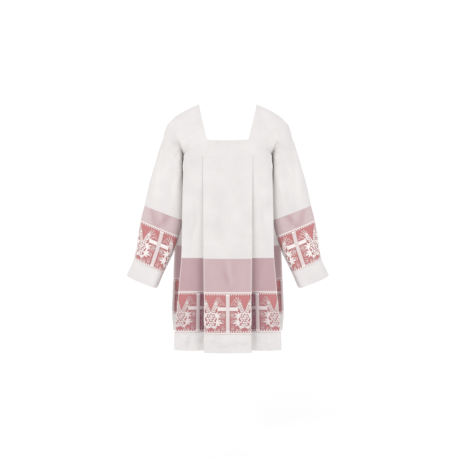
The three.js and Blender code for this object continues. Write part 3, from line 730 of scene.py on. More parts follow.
def oval_ring(values):
    """Points spaced evenly round a sleeve's section, from its outer end round the front."""
    inner_x, inner_z, outer_x, outer_z, half_depth, y = values
    middle = np.array([(inner_x + outer_x) / 2, (inner_z + outer_z) / 2])
    axis = np.array([outer_x - inner_x, outer_z - inner_z])
    half_width = np.linalg.norm(axis) / 2
    axis = axis / np.linalg.norm(axis)
    angles = np.linspace(0, 2 * math.pi, RING_SAMPLES)
    wide, deep = np.cos(angles), np.sin(angles)
    in_front = deep > 0
    square = np.where(wide < 0, INNER_SQUARE, FRONT_SQUARE)
    wide = np.where(in_front, np.sign(wide) * np.abs(wide) ** square, wide) * half_width
    deep = np.where(in_front, np.abs(deep) ** square, deep) * half_depth
    outline = np.column_stack([wide, deep])
    wide, deep = resampled(outline, np.arange(AROUND) / AROUND * distances(outline)[-1]).T
    return np.column_stack([middle[0] + axis[0] * wide, y - deep, middle[1] + axis[1] * wide])


def armhole_ring():
    """The sleeve's first ring, just outside the yoke's edge."""
    angles = np.linspace(0, 360, RING_SAMPLES)
    along = distances(np.array([armhole_point(angle) for angle in angles]))
    across = np.subtract(SHOULDER_POINT, UNDERARM)
    across = across / np.linalg.norm(across)
    ring = []
    for angle in np.interp(np.arange(AROUND) / AROUND * along[-1], along, angles):
        under = (1 - math.cos(math.radians(angle))) / 2
        clear = SEAM + ARMHOLE_CLEAR + COTTON / 2 * under
        p = armhole_point(angle)
        ring.append((p[0] - across[1] * clear, p[1], p[2] + across[0] * clear))
    return np.array(ring)


# Creases of a sleeve: share of the way round from its outer edge and millimetres down it, as start and end
SLEEVE_CREASES = (
    ((0.30, 10), (0.16, 120), 9, 3.0),
    ((0.36, 20), (0.24, 170), 9, -2.6),
    ((0.42, 40), (0.33, 260), 10, 2.4),
    ((0.12, 90), (0.20, 300), 12, -1.6),
    ((0.70, 30), (0.82, 190), 12, 2.2),
    ((0.62, 60), (0.68, 300), 12, -1.8),
    ((0.22, 330), (0.30, 470), 9, 2.2),
    ((0.34, 330), (0.28, 450), 8, -1.6),
    ((0.80, 320), (0.72, 480), 10, 1.6),
)
SLEEVE_FADE = 4
SLEEVE_WAVES = 0.8
SLEEVE_PHASE = 0.7


def sleeve_grid(first, last, hand, step):
    """Rows of points down a sleeve between two of its table rows, and how far down each of them lies. A piece
    that starts at row 0 begins at the armhole."""
    places = []
    for here, there, k in zip(SLEEVE[first:last], SLEEVE[first + 1:], range(first, last)):
        reach = max(abs(here[3] - there[3]), abs(here[1] - there[1]))
        count = max(3, round(reach / step))
        places += [k + j / count for j in range(count)]
    places.append(last)
    rings = [oval_ring(smooth_table(SLEEVE, t)) for t in places]
    seams = [(0, 1), (-1, -1)]
    if first == 0:
        shares = [k / ARMHOLE_ROWS for k in range(ARMHOLE_ROWS)]
        base = armhole_ring()
        rings = [lerp(base, rings[0], share) for share in shares] + rings
        places = [share - 1 for share in shares] + places
        seams = seams[1:]
    grid = np.array(rings)
    middles = grid.mean(axis=1)
    for row, way in seams:
        along = middles[row + way] - middles[row]
        grid[row] += along / np.linalg.norm(along) * SEAM / 2
    return grid * (hand, 1, 1) * MM, sleeve_distances(places)


def sleeve_distances(places):
    """Millimetres down the sleeve's outer edge, from the armhole, at fractional table rows."""
    total = distances(np.array([SHOULDER_POINT] + [row[2:4] for row in SLEEVE]))
    return np.interp(np.array(places) + 1, np.arange(len(total)), total)


def creased_sleeve(first, last, hand, step=6):
    """The grid and the normals of a sleeve piece between two table rows."""
    grid, down = sleeve_grid(first, last, hand, step)
    share = np.arange(AROUND) / AROUND
    p, q = share * SLEEVE_GIRTH, down[:, None]
    creases = [((a * SLEEVE_GIRTH, b), (c * SLEEVE_GIRTH, d), *size)
               for (a, b), (c, d), *size in SLEEVE_CREASES]
    waves = soft_waves(p, q, SLEEVE_WAVES, SLEEVE_PHASE + hand) * np.sin(np.pi * share) ** 2
    fade = end_fade(len(grid), SLEEVE_FADE, SLEEVE_FADE)[:, None]
    grid = displaced(grid, sleeve_normals(grid), (waves + ridges(p, q, creases)) * fade)
    if first == 0:
        grid = folded_at_shoulder(grid)
    return grid, sleeve_normals(grid)


# How deep threadwork goes into its ground, and how high the sides of a cord and of a strip stand out of it
SUNK = -0.2
CORD_SIDE = 0.1
STRIP_SIDE = 0.3


class Motif:
    """Raised threadwork drawn in the lace's own coordinates: u along it, v down it and h out of it, in mm."""

    def __init__(self):
        self.points = []
        self.faces = []
        self.centres = []

    def add(self, points, faces):
        start = len(self.points)
        centre = np.mean(points, axis=0)
        self.points += [tuple(p) for p in points]
        self.centres += [centre[0]] * len(faces)
        self.faces += [tuple(start + k for k in face) for face in faces]

    def join(self, other, shift):
        """Adds another motif, moved along by shift."""
        start = len(self.points)
        self.points += [(u + shift, v, h) for u, v, h in other.points]
        self.centres += [centre + shift for centre in other.centres]
        self.faces += [tuple(start + k for k in face) for face in other.faces]

    def sweep(self, path, widths, profile, caps):
        """Carries a profile, given as shares of the width and heights, along a path and closes its ends."""
        path = np.array(path, float)
        run = np.gradient(path, axis=0)
        run /= np.maximum(np.linalg.norm(run, axis=1, keepdims=True), 1e-9)
        side = np.column_stack([-run[:, 1], run[:, 0]])
        widths = np.broadcast_to(np.asarray(widths, float), (len(path),))
        points = []
        for p, s, w in zip(path, side, widths):
            points += [(*(p + s * w * share), rise) for share, rise in profile]
        size = len(profile)
        end = size * (len(path) - 1)
        faces = []
        for a in range(0, end, size):
            for m in range(size):
                n = (m + 1) % size
                faces.append((a + m, a + n, a + size + n, a + size + m))
        for cap in caps:
            faces += [cap[::-1], tuple(end + k for k in cap)]
        self.add(points, faces)

    def cord(self, path, width, height):
        """A raised thread along a path, lying on the ground."""
        profile = ((0.5, CORD_SIDE), (0, height), (-0.5, CORD_SIDE), (0, SUNK))
        self.sweep(path, width, profile, [(0, 1, 2, 3)])

    def line(self, start, end, width, height):
        """A straight thread."""
        self.cord(np.linspace(start, end, 3), width, height)

    def strip(self, path, widths, height, lanes=4):
        """A broad band of satin stitch with a low crown."""
        across = np.linspace(0.5, -0.5, lanes + 1)
        profile = [(a, lerp(STRIP_SIDE, height, 1 - (2 * a) ** 4)) for a in across]
        profile += [(a, SUNK) for a in across[::-1]]
        last = len(profile) - 1
        self.sweep(path, widths, profile, [(m, m + 1, last - 1 - m, last - m) for m in range(lanes)])

    def bead(self, u, v, long, wide, angle=0.0, height=1.2, sides=8):
        """A rounded stitch or berry; angle turns its long way from straight up, in degrees."""
        along, aside = leaning(angle), leaning(angle + 90)
        points = [(u, v, height)]
        for share, rise in ((0.62, 0.78), (1.0, 0.08)):
            for k in range(sides):
                a = 2 * math.pi * k / sides
                p = (u, v) + along * long * share * math.cos(a) + aside * wide * share * math.sin(a)
                points.append((*p, height * rise))
        points.append((u, v, SUNK))
        faces = []
        for k in range(sides):
            n = (k + 1) % sides
            faces.append((0, 1 + k, 1 + n))
            faces.append((1 + k, 1 + sides + k, 1 + sides + n, 1 + n))
            faces.append((1 + sides + k, 1 + 2 * sides, 1 + sides + n))
        self.add(points, faces)


def leaning(angle):
    """The direction that leans from straight up by an angle in degrees."""
    turn = math.radians(angle)
    return np.array([math.sin(turn), -math.cos(turn)])


def curve(points, spacing=3.0):
    """A smooth path through a few points, evenly sampled."""
    rough = np.array([smooth_table(points, t) for t in np.linspace(0, len(points) - 1, 12 * len(points))])
    total = distances(rough)[-1]
    return resampled(rough, np.linspace(0, total, max(2, math.ceil(total / spacing) + 1)))


# The lace's layout: edges, beads and loops down it, and the cross
EDGE_TOP = (2.6, 7.0)
EDGE_BOTTOM = (156.2, 160.4)
BEADS_TOP = 10.9
BEADS_BOTTOM = 152.6
BEAD_PITCH = 9.1
PALE_TOP = 15.9
PALE_BOTTOM = 149.6
EDGE_PALER = 0.8
CROSS_V = CROSS_ARM_DROP
CROSS_WIDTH = 12.5
CROSS_REACH = 38
CROSS_FLARE = 2.5
FLARE_LENGTH = 12
CROSS_TOP = EDGE_TOP[1] + 3
CROSS_BOTTOM = EDGE_BOTTOM[0] - 1
CROSS_EDGE = 0.4
UPRIGHT_HEIGHT = 1.3
ARM_HEIGHT = 1.25
# Pale strips along the pleats' folds, laid as painted highlights: width, height and steps along them
FOLD_BAND = 2.2
FOLD_HEIGHT = 0.7
FOLD_STEPS = 30

# Beads and loops of an edge: depth, place as a share of the pitch, half length, half width and height
EDGE_BEADS = (
    (BEADS_TOP, 0.5, 2.9, 2.7, 1.0),
    (BEADS_BOTTOM, 0.5, 2.8, 2.7, 1.0),
    (1.4, 1, 1.9, 2.6, 0.8),
    (161.2, 1, 1.7, 2.6, 0.8),
)

# Threads, as width and height
CROSS_CORD = (1.4, 1.6)
RAY = (1.2, 0.5)
TENDRIL = (1.2, 0.6)
STALK = (1.3, 0.6)
SCROLL = (1.5, 0.6)
AWN = (2.0, 0.6)

# An ear of wheat: where it is tied and starts, and its grains, whose sizes are half length and half width
TIE = (0, 108)
EAR_BASE = (5, 84)
EAR_LEAN = 21
EAR_LENGTH = 44
GRAIN_PAIRS = 5
GRAIN_ASIDE = 4.4
GRAIN_LEAN = 40
GRAIN = (5.6, 2.7)
EAR_TIP = (5.4, 2.6)

# Awns: where each starts as a share of its ear, its lean away from the other ear and its length
AWNS = ((1.0, -7, 24), (0.96, 7, 28), (0.76, 20, 32), (0.5, 34, 31), (0.86, -21, 18))

# Grapes: rows as a height and a number; leaves: place, angle and size
GRAPE_ROWS = ((85, 2), (93, 3), (101.5, 4), (109.5, 3), (117.5, 4), (126, 3), (133.5, 2))
GRAPE_PITCH = 9.4
GRAPE_SIZE = 4.1
LEAVES = ((19, 94, 58, 22), (21, 117, 98, 22), (12, 132, 152, 13))

# A leaf's lobes: how many, how far each leans from the next, and shares of the leaf's size
LEAF_LOBES = 5
LOBE_LEAN = 38
LOBE_SHORTER = 0.16
LOBE_PLACE = 0.52
LOBE_LONG = 0.55
LOBE_WIDE = 0.15
LEAF_HEART = 0.18

# Scrolls: place, starting angle, turns and radius; tendrils: points of each line
SCROLLS = (
    (18, 92, 160, 1.4, 7), (20, 117, 220, 1.5, 8.5), (17, 142, 300, 1.3, 6),
    (34, 146, 20, 1.2, 4.5), (48, 148, 200, 1.1, 4),
)
SCROLL_INNER = 2.4
TENDRILS = (
    ((12, 101), (22, 103), (30, 98)),
    ((12, 130), (20, 131), (27, 136)),
)

# Rays: lean, nearest and furthest distance from the middle of a cross, with all of them below its arms
RAYS = ((30, 19, 30), (42, 17, 40), (54, 17, 42), (66, 20, 34))
RAYS_ABOVE = RAYS[1:3]


def flare(distance_from_end):
    """The width of a cross's arm near its end."""
    return CROSS_WIDTH + CROSS_FLARE * max(0, 1 - distance_from_end / FLARE_LENGTH) ** 2


def upright_width(v):
    return flare(min(v - CROSS_TOP, CROSS_BOTTOM - v))


def draw_cross(m):
    """A tall cross with slightly flared ends, edged with a cord."""
    stops = np.linspace(CROSS_TOP, CROSS_BOTTOM, 42)
    m.strip([(0, v) for v in stops], [upright_width(v) for v in stops], UPRIGHT_HEIGHT)
    for hand in (1, -1):
        reach = np.linspace(CROSS_WIDTH / 2 - 1, CROSS_REACH, 10)
        widths = [flare(CROSS_REACH - u) for u in reach]
        m.strip([(hand * u, CROSS_V) for u in reach], widths, ARM_HEIGHT)
        draw_cross_edges(m, hand, reach[2:])


def draw_cross_edges(m, hand, reach):
    """The cord along one side of a cross."""
    half = CROSS_WIDTH / 2
    inner = half + CROSS_EDGE
    for side, limit in ((1, (CROSS_V + half, CROSS_BOTTOM)), (-1, (CROSS_TOP, CROSS_V - half))):
        arm = [(hand * inner, CROSS_V + side * inner)]
        arm += [(hand * u, CROSS_V + side * (flare(CROSS_REACH - u) / 2 + CROSS_EDGE)) for u in reach]
        m.cord(arm, *CROSS_CORD)
        upright = [(hand * (upright_width(v) / 2 + CROSS_EDGE), v) for v in np.linspace(*limit, 24)]
        m.cord(upright, *CROSS_CORD)
    tip = flare(0) / 2
    end = ((CROSS_EDGE, -tip), (3 * CROSS_EDGE, 0), (CROSS_EDGE, tip))
    m.cord([(hand * (CROSS_REACH + out), CROSS_V + v) for out, v in end], *CROSS_CORD)


def draw_rays(m):
    """Fine threads that spread from the middle of a cross into its four corners."""
    for hand in (1, -1):
        for side, rays in ((1, RAYS), (-1, RAYS_ABOVE)):
            for angle, near, far in rays:
                a = math.radians(angle)
                away = np.array([hand * math.cos(a), side * math.sin(a)])
                m.line((0, CROSS_V) + near * away, (0, CROSS_V) + far * away, *RAY)


def draw_ear(m, base, hand):
    """One ear of wheat on its stalk: paired grains with gaps between them, and awns that fan from it."""
    lean = hand * EAR_LEAN
    up, aside = leaning(lean), leaning(lean + 90)
    tip = base + up * EAR_LENGTH
    m.cord(curve([TIE, base, tip]), *STALK)
    for k in range(GRAIN_PAIRS):
        centre = base + up * EAR_LENGTH * (k + 0.4) / GRAIN_PAIRS
        for side in (1, -1):
            m.bead(*(centre + aside * side * GRAIN_ASIDE), *GRAIN, lean + side * GRAIN_LEAN, 1.0, 6)
    m.bead(*tip, *EAR_TIP, lean, 1.0, 6)
    for share, away, reach in AWNS:
        off_middle = hand * math.copysign(4 * (1 - share) + 1, away)
        start = base + up * EAR_LENGTH * share + aside * off_middle
        m.line(start, start + leaning(lean + hand * away) * reach, *AWN)


def draw_leaf(m, at, angle, size):
    """A pointed leaf: long stitches that spread from its stalk."""
    for k in range(LEAF_LOBES):
        away = k - (LEAF_LOBES - 1) / 2
        lean = angle + away * LOBE_LEAN
        reach = size * (1 - LOBE_SHORTER * abs(away))
        centre = at + leaning(lean) * reach * LOBE_PLACE
        m.bead(*centre, reach * LOBE_LONG, size * LOBE_WIDE, lean, 0.9)
    m.bead(*at, size * LEAF_HEART, size * LEAF_HEART, 0, 1.0)


def draw_sheaf(m):
    """Two ears of wheat over a bunch of grapes with leaves beside it, drawn about u = 0."""
    for hand in (1, -1):
        draw_ear(m, np.array([hand * EAR_BASE[0], EAR_BASE[1]], float), hand)
        for u, v, angle, size in LEAVES:
            draw_leaf(m, (hand * u, v), hand * angle, size)
    for v, count in GRAPE_ROWS:
        for k in range(count):
            wander = math.sin(2.1 * k + v)
            u = (k - (count - 1) / 2) * GRAPE_PITCH + 0.7 * math.cos(1.7 * k + v)
            size = GRAPE_SIZE + 0.4 * wander
            m.bead(u, v + 0.8 * wander, size, size * 0.94, 20 * wander, 1.1)


def spiral(at, start, turns, outer, hand):
    """Points of a scroll that unrolls from its middle."""
    s = np.linspace(0, 1, max(8, int(turns * 14)) + 1)
    a = math.radians(start) + hand * 2 * math.pi * turns * s
    r = lerp(SCROLL_INNER, outer, s)
    return np.column_stack([at[0] + r * np.cos(a), at[1] + r * np.sin(a)])


def draw_scrolls(m):
    """Thin scrolls that fill the ground between a cross and a sheaf, about u = 0."""
    for hand in (1, -1):
        for u, v, start, turns, outer in SCROLLS:
            m.cord(spiral((hand * u, v), start if hand > 0 else 180 - start, turns, outer, hand), *SCROLL)
        for line in TENDRILS:
            m.cord(curve([(hand * u, v) for u, v in line]), *TENDRIL)


def draw_edging(m):
    """A plain band, a row of beads and a row of loops along the top and the bottom of one repeat."""
    count = round(LACE_REPEAT / BEAD_PITCH)
    pitch = LACE_REPEAT / count
    for k in range(count):
        start = k * pitch - LACE_REPEAT / 2
        run = start + pitch * np.array([0, 0.5, 1])
        for low, high in (EDGE_TOP, EDGE_BOTTOM):
            m.strip([(u, (low + high) / 2) for u in run], high - low, 1.0, 3)
        for v, share, long, wide, height in EDGE_BEADS:
            m.bead(start + share * pitch, v, long, wide, 0, height)


def lace_repeat():
    """One repeat of the lace: a cross at u = 0, and its sheaf half a repeat to the right of it."""
    m, sheaf = Motif(), Motif()
    draw_cross(m)
    draw_rays(m)
    draw_scrolls(m)
    draw_sheaf(sheaf)
    m.join(sheaf, LACE_REPEAT / 2)
    draw_edging(m)
    return m


class Surface:
    """A cloth surface addressed by millimetres along it, down it and out of it. tone is one value for each
    column of its grid."""

    def __init__(self, grid, normal, u, v, tone=0.5):
        self.grid, self.normal, self.u, self.v = grid, normal, u, v
        self.tone = np.broadcast_to(tone, (len(u),))

    def at(self, points):
        points = np.asarray(points, float)
        i, s = self.cell(self.u, points[:, 0])
        j, t = self.cell(self.v, points[:, 1])
        s, t = s[:, None], t[:, None]

        def mixed(values):
            upper = values[j, i] * (1 - s) + values[j, i + 1] * s
            lower = values[j + 1, i] * (1 - s) + values[j + 1, i + 1] * s
            return upper * (1 - t) + lower * t

        n = mixed(self.normal)
        n /= np.maximum(np.linalg.norm(n, axis=1, keepdims=True), 1e-9)
        return mixed(self.grid) + n * points[:, 2:3] * MM

    @staticmethod
    def cell(stops, values):
        """The stretch between stops that each value is in, and how far along it."""
        values = np.clip(values, stops[0], stops[-1])
        k = np.clip(np.searchsorted(stops, values, side="right") - 1, 0, len(stops) - 2)
        return k, (values - stops[k]) / (stops[k + 1] - stops[k])


def surface_of(grid, normal, height, tone=0.5):
    """A surface whose u runs along the cloth from its middle and whose v is height millimetres in all."""
    along = distances(grid[len(grid) // 2]) / MM
    return Surface(grid, normal, along - along[-1] / 2, np.linspace(0, height, len(grid)), tone)


def threadwork(name, motif, surface, first, last):
    """Lays as many repeats of the motif on a surface as fit between two places along it."""
    points = np.array(motif.points)
    centres = np.array(motif.centres)
    placed, faces = [], []
    start = 0
    for repeat in range(math.floor(first / LACE_REPEAT) - 1, math.ceil(last / LACE_REPEAT) + 2):
        shift = repeat * LACE_REPEAT
        inside = (centres + shift > first) & (centres + shift < last)
        chosen = [face for face, keep in zip(motif.faces, inside) if keep]
        used = sorted({k for face in chosen for k in face})
        renumber = {k: start + n for n, k in enumerate(used)}
        placed.append(points[used] + (shift, 0, 0))
        faces += [tuple(renumber[k] for k in face) for face in chosen]
        start += len(used)
    return laid(name, np.concatenate(placed), faces, surface)


def laid(name, points, faces, surface):
    """Puts threadwork given as (u, v, h) on a surface. Its edges are paler."""
    points = np.array(points)
    flat = [k for face in faces for k in face]
    uvs = points[flat, :2] * (MM, -MM)
    at_edge = (points[:, 1] < PALE_TOP) | (points[:, 1] > PALE_BOTTOM)
    tone = np.interp(points[:, 0], surface.u, surface.tone) + EDGE_PALER * at_edge
    return make_object(name, surface.at(points), faces, uvs, tone)


# Stitches of a seam: length, pitch, width and height; and the rows of a hem, down it
STITCH = 2.6
STITCH_PITCH = 4.0
STITCH_THREAD = (0.5, 0.45)
SKIRT_STITCHES = (3,)
HEM_STITCHES = (3, HEM_BAND - 6)


def stitches(name, surface, v):
    """A row of separate stitches along a surface at v down it."""
    m = Motif()
    path = curve([(surface.u[2], v), (0, v), (surface.u[-3], v)], 1.0)
    for k in range(int(distances(path)[-1] / STITCH_PITCH)):
        stops = np.linspace(k * STITCH_PITCH, k * STITCH_PITCH + STITCH, 3)
        m.cord(resampled(path, stops), *STITCH_THREAD)
    return laid(name, np.array(m.points) + (0, 0, COTTON / 2), m.faces, surface)


def fold_highlights(name, surface):
    """Pale strips laid along the folds of the pleats on the lace, as painted highlights."""
    m = Motif()
    columns = np.arange(len(surface.u))
    for fold in (-FOLD_COLUMNS[0], -FOLD_COLUMNS[1], *FOLD_COLUMNS):
        u = np.interp(fold + len(columns) // 2, columns, surface.u)
        path = [(u, v) for v in np.linspace(EDGE_TOP[0], EDGE_BOTTOM[1], FOLD_STEPS)]
        m.strip(path, FOLD_BAND, FOLD_HEIGHT)
    return laid(name, m.points, m.faces, surface)


# Materials: the tone on a mesh and the soft patches that a colour is read from, and the looks of threads
TONE_SPREAD = 0.5
TONE_MIDDLE = 0.42
PATCH_SPREAD = 0.16
PATCH_SCALE = 11
WAVE_SCALE = 0.314
NET_CELLS = 620
NET_THREAD = 0.13
NET_COVER = 0.3


def new_material(name, colour, roughness, sheen, sheen_roughness=0.5, specular=0.3):
    material = bpy.data.materials.new(name)
    material.use_nodes = True
    shader = material.node_tree.nodes["Principled BSDF"]
    shader.inputs["Base Color"].default_value = (*colour, 1)
    shader.inputs["Roughness"].default_value = roughness
    shader.inputs["Sheen Weight"].default_value = sheen
    shader.inputs["Sheen Roughness"].default_value = sheen_roughness
    shader.inputs["Specular IOR Level"].default_value = specular
    return material, material.node_tree, shader


def node(tree, kind, **values):
    """A new node with its settings and inputs by name. An underscore stands for the space in an input's."""
    made = tree.nodes.new(kind)
    for key, value in values.items():
        if hasattr(made, key):
            setattr(made, key, value)
        else:
            feed(tree, value, made.inputs[key.replace("_", " ")])
    return made


def feed(tree, value, socket):
    """Gives an input another node's output, a colour or a number."""
    if isinstance(value, bpy.types.NodeSocket):
        tree.links.new(value, socket)
    else:
        socket.default_value = (*value, 1) if isinstance(value, tuple) else value


def calculated(tree, operation, *values, clamp=False):
    """The result of a maths node on numbers or other nodes' outputs."""
    made = node(tree, "ShaderNodeMath", operation=operation, use_clamp=clamp)
    for value, socket in zip(values, made.inputs):
        feed(tree, value, socket)
    return made.outputs[0]


def mixed_colour(tree, factor, a, b):
    """A colour between a and b, each a colour or another node's output."""
    mix = node(tree, "ShaderNodeMix", data_type="RGBA")
    for value, socket in ((factor, mix.inputs[0]), (a, mix.inputs[6]), (b, mix.inputs[7])):
        feed(tree, value, socket)
    return mix.outputs[2]


def linear(r, g, b):
    """An sRGB colour out of 255 as linear light."""
    return tuple((v / 255 / 12.92) if v <= 10 else ((v / 255 + 0.055) / 1.055) ** 2.4 for v in (r, g, b))


def cloth_place(tree):
    return node(tree, "ShaderNodeUVMap", uv_map="cloth").outputs[0]


def mesh_tone(tree):
    return node(tree, "ShaderNodeAttribute", attribute_name="tone").outputs["Fac"]


def weave_height(tree, thread, distortion=0.6):
    """Crossed threads of the given spacing in metres, from the cloth's own coordinates."""
    waves = []
    for direction in ("X", "Y"):
        wave = node(tree, "ShaderNodeTexWave", wave_type="BANDS", bands_direction=direction,
                    Vector=cloth_place(tree), Scale=WAVE_SCALE / thread, Distortion=distortion,
                    Detail=1, Detail_Scale=0.4)
        waves.append(wave.outputs["Fac"])
    return calculated(tree, "MULTIPLY", *waves)


def patches(tree, scale, detail=3):
    """Soft blotches in the object's own space, from 0 to 1."""
    place = node(tree, "ShaderNodeTexCoord").outputs["Object"]
    return node(tree, "ShaderNodeTexNoise", Vector=place, Scale=scale, Detail=detail).outputs["Fac"]


def by_tone(tree, deep, pale):
    """A colour between two, read from the mesh's tone, which carries painted shade and painted light, with
    soft patches added.
    """
    tone = calculated(tree, "MULTIPLY_ADD", mesh_tone(tree), TONE_SPREAD, TONE_MIDDLE)
    patchy = calculated(tree, "MULTIPLY_ADD", patches(tree, PATCH_SCALE), PATCH_SPREAD, tone, clamp=True)
    return mixed_colour(tree, patchy, deep, pale)


def finish(tree, shader, colour, height, strength, distance):
    """Gives a shader its colour and its raised threads."""
    feed(tree, colour, shader.inputs["Base Color"])
    raised = node(tree, "ShaderNodeBump", Height=height, Strength=strength, Distance=distance)
    feed(tree, raised.outputs["Normal"], shader.inputs["Normal"])


def cotton_material():
    """Thin white cotton, with a paler colour mixed in by the mesh's tone: painted light that lifts the shade
    deep in the pleats, beside the sleeves, beside the underarm and on the sleeves' inner sides.
    """
    material, tree, shader = new_material("cotton_lawn", linear(216, 213, 212), 0.85, 0.15)
    cloth = mixed_colour(tree, patches(tree, 16, 4), linear(208, 204, 203), linear(224, 221, 220))
    # The paler colour is painted light
    colour = mixed_colour(tree, mesh_tone(tree), cloth, linear(244, 241, 239))
    finish(tree, shader, colour, weave_height(tree, 0.0006), 0.25, 0.0003)
    return material


def net_material():
    """Fine white net over the lining: pale six-sided threads with the dusty pink between them."""
    material, tree, shader = new_material("net_over_lining", linear(204, 182, 184), 0.7, 0.2)
    cells = node(tree, "ShaderNodeTexVoronoi", feature="DISTANCE_TO_EDGE", Vector=cloth_place(tree),
                 Scale=NET_CELLS, Randomness=0.25)
    threads = calculated(tree, "LESS_THAN", cells.outputs["Distance"], NET_THREAD)
    cover = calculated(tree, "MULTIPLY", threads, NET_COVER)
    # The ground runs from painted shade, deep, to painted highlight, pale, by the mesh's tone
    ground = by_tone(tree, linear(168, 128, 134), linear(202, 184, 185))
    finish(tree, shader, mixed_colour(tree, cover, ground, linear(232, 220, 220)), threads, 0.3, 0.0002)
    return material


def lining_material():
    material, tree, shader = new_material("coral_satin", linear(190, 119, 121), 0.5, 0.2, 0.4, 0.35)
    # Deep purple where the tone is low: painted shade in the recesses beside the box pleat, and darker
    # towards the lining's foot; coral elsewhere
    colour = by_tone(tree, linear(146, 92, 106), linear(189, 121, 121))
    finish(tree, shader, colour, weave_height(tree, 0.0004, 0.3), 0.12, 0.0002)
    return material


def lace_material():
    material, tree, shader = new_material("lace_thread", linear(228, 218, 216), 0.75, 0.2)
    # The deep colour is painted shade in the recesses beside the box pleat, on the skirt's sides and on the
    # uprights of the sleeves' crosses; the paler tones at the pleats' folds are painted highlights
    colour = by_tone(tree, linear(172, 144, 148), linear(234, 226, 224))
    finish(tree, shader, colour, weave_height(tree, 0.0011, 1.2), 0.35, 0.0003)
    return material


def thread_material():
    material, tree, shader = new_material("sewing_thread", linear(232, 228, 226), 0.6, 0.3)
    colour = mixed_colour(tree, patches(tree, 90), linear(226, 221, 219), linear(240, 236, 234))
    finish(tree, shader, colour, patches(tree, 2500, 1), 0.2, 0.0002)
    return material


def floor_material():
    material, tree, shader = new_material("studio_floor", (0.97, 0.97, 0.97), 0.95, 0, specular=0)
    colour = mixed_colour(tree, patches(tree, 2), (0.965, 0.965, 0.965), (0.975, 0.975, 0.975))
    feed(tree, colour, shader.inputs["Base Color"])
    return material


# Camera, lights and floor
CAMERA_DISTANCE = 2.4
CAMERA_HEIGHT = -0.340
CAMERA_PITCH = 3.61
CAMERA_SIDE = 0.0048
FOCAL_PIXELS = 603.1
PHOTO_PIXELS = 458
SENSOR = 36
FLOOR_HEIGHT = -1.45
FLOOR_REACH = 30
SKY_STRENGTH = 1.04

# Lights: name, place, size and power, all turned to one target
LIGHTS = (("key", (-1.6, -2.7, 1.5), 1.0, 20), ("fill", (1.9, -2.4, 0.3), 1.6, 7))
LIGHT_TARGET = (0, 0, -0.5)


def make_camera():
    data = bpy.data.cameras.new("camera")
    data.sensor_width = SENSOR
    data.lens = SENSOR * FOCAL_PIXELS / PHOTO_PIXELS
    camera = bpy.data.objects.new("camera", data)
    camera.location = (CAMERA_SIDE, -CAMERA_DISTANCE, CAMERA_HEIGHT)
    camera.rotation_euler = (math.radians(90 - CAMERA_PITCH), 0, 0)
    bpy.context.collection.objects.link(camera)
    bpy.context.scene.camera = camera


def make_light(name, at, size, power):
    data = bpy.data.lights.new(name, "AREA")
    data.shape = "DISK"
    data.size = size
    data.energy = power
    light = bpy.data.objects.new(name, data)
    light.location = at
    light.rotation_euler = (Vector(LIGHT_TARGET) - Vector(at)).to_track_quat("-Z", "Y").to_euler()
    bpy.context.collection.objects.link(light)


def make_stage():
    world = bpy.data.worlds.new("studio")
    world.use_nodes = True
    background = world.node_tree.nodes["Background"]
    background.inputs["Color"].default_value = (1, 1, 1, 1)
    background.inputs["Strength"].default_value = SKY_STRENGTH
    bpy.context.scene.world = world
    bpy.context.scene.view_settings.view_transform = "Standard"
    for light in LIGHTS:
        make_light(*light)
    corners = ((-1, -1), (1, -1), (1, 1), (-1, 1))
    points = [(x * FLOOR_REACH, y * FLOOR_REACH, FLOOR_HEIGHT) for x, y in corners]
    floor = make_object("floor", points, [(0, 1, 2, 3)], smooth=False)
    floor.data.materials.append(floor_material())


def dress(obj, material, slot, nodes=()):
    """Gives a piece its material and body, and hides the solids that it replaces. Its slot is not used."""
    obj.data.materials.append(material)
    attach(obj, "root")
    if nodes:
        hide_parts(*nodes)


def cloth_area(grid, closed=False):
    """Square metres of a grid of points."""
    corners = grid_faces(*grid.shape[:2], closed)
    p = grid[corners[..., 0], corners[..., 1] % grid.shape[1]]
    return float(np.linalg.norm(np.cross(p[:, 2] - p[:, 0], p[:, 3] - p[:, 1]), axis=1).sum() / 2)


def flat_size(grid, closed=False):
    """Width and length of a piece's flat cut, in metres, at its widest row and longest column."""
    ring = np.concatenate([grid, grid[:, :1]], axis=1) if closed else grid
    widths = np.linalg.norm(np.diff(ring, axis=1), axis=2).sum(axis=1)
    drops = np.linalg.norm(np.diff(grid, axis=0), axis=2).sum(axis=0)
    return float(widths.max()), float(drops.max())


def declare(size, area):
    """Takes a sheet's flat width and length and its area, and raises the area to at least LEAST_AREA times
    the width times the length; nothing is kept.
    """
    width, length = size
    area = max(area, LEAST_AREA * width * length)


def make_piece(name, side, cloth, thickness, look, offset=0, tone=None, closed=False):
    """One piece of cloth. look is its material and slot. A closed one goes all the way round a sleeve."""
    grid, normal = cloth
    obj = shell(f"{name}_{side}_cloth", grid, normal, thickness, closed, offset, tone=tone)
    dress(obj, *look, [f"{name}_{side}"])
    declare(flat_size(grid, closed), cloth_area(grid, closed))


def seam_stitches(name, cloth, height, places, look):
    """Rows of stitches along a skirt piece, one at each place down it."""
    surface = surface_of(*cloth, height)
    rows = [stitches(f"{name}_{k + 1}", surface, v) for k, v in enumerate(places)]
    for row in rows:
        dress(row, *look)
    return rows


def make_skirt_cotton(side, back, looks):
    """The white upper part of the skirt. At the back its creases are mirrored and weaker."""
    creases = SKIRT_CREASES
    if back:
        creases = [((-a, b), (-c, d), width, height * BACK_CREASES)
                   for (a, b), (c, d), width, height in creases]
    cloth = creased_skirt(-YOKE_DROP, NET_TOP, back, creases)
    height = -YOKE_DROP - NET_TOP
    rows = seam_stitches(f"skirt_stitches_{side}", cloth, height, SKIRT_STITCHES, looks["thread"])
    cloth = tucked(*cloth)
    make_piece("skirt", side, cloth, COTTON, looks["cotton"], tone=skirt_painted_light(cloth[0]))


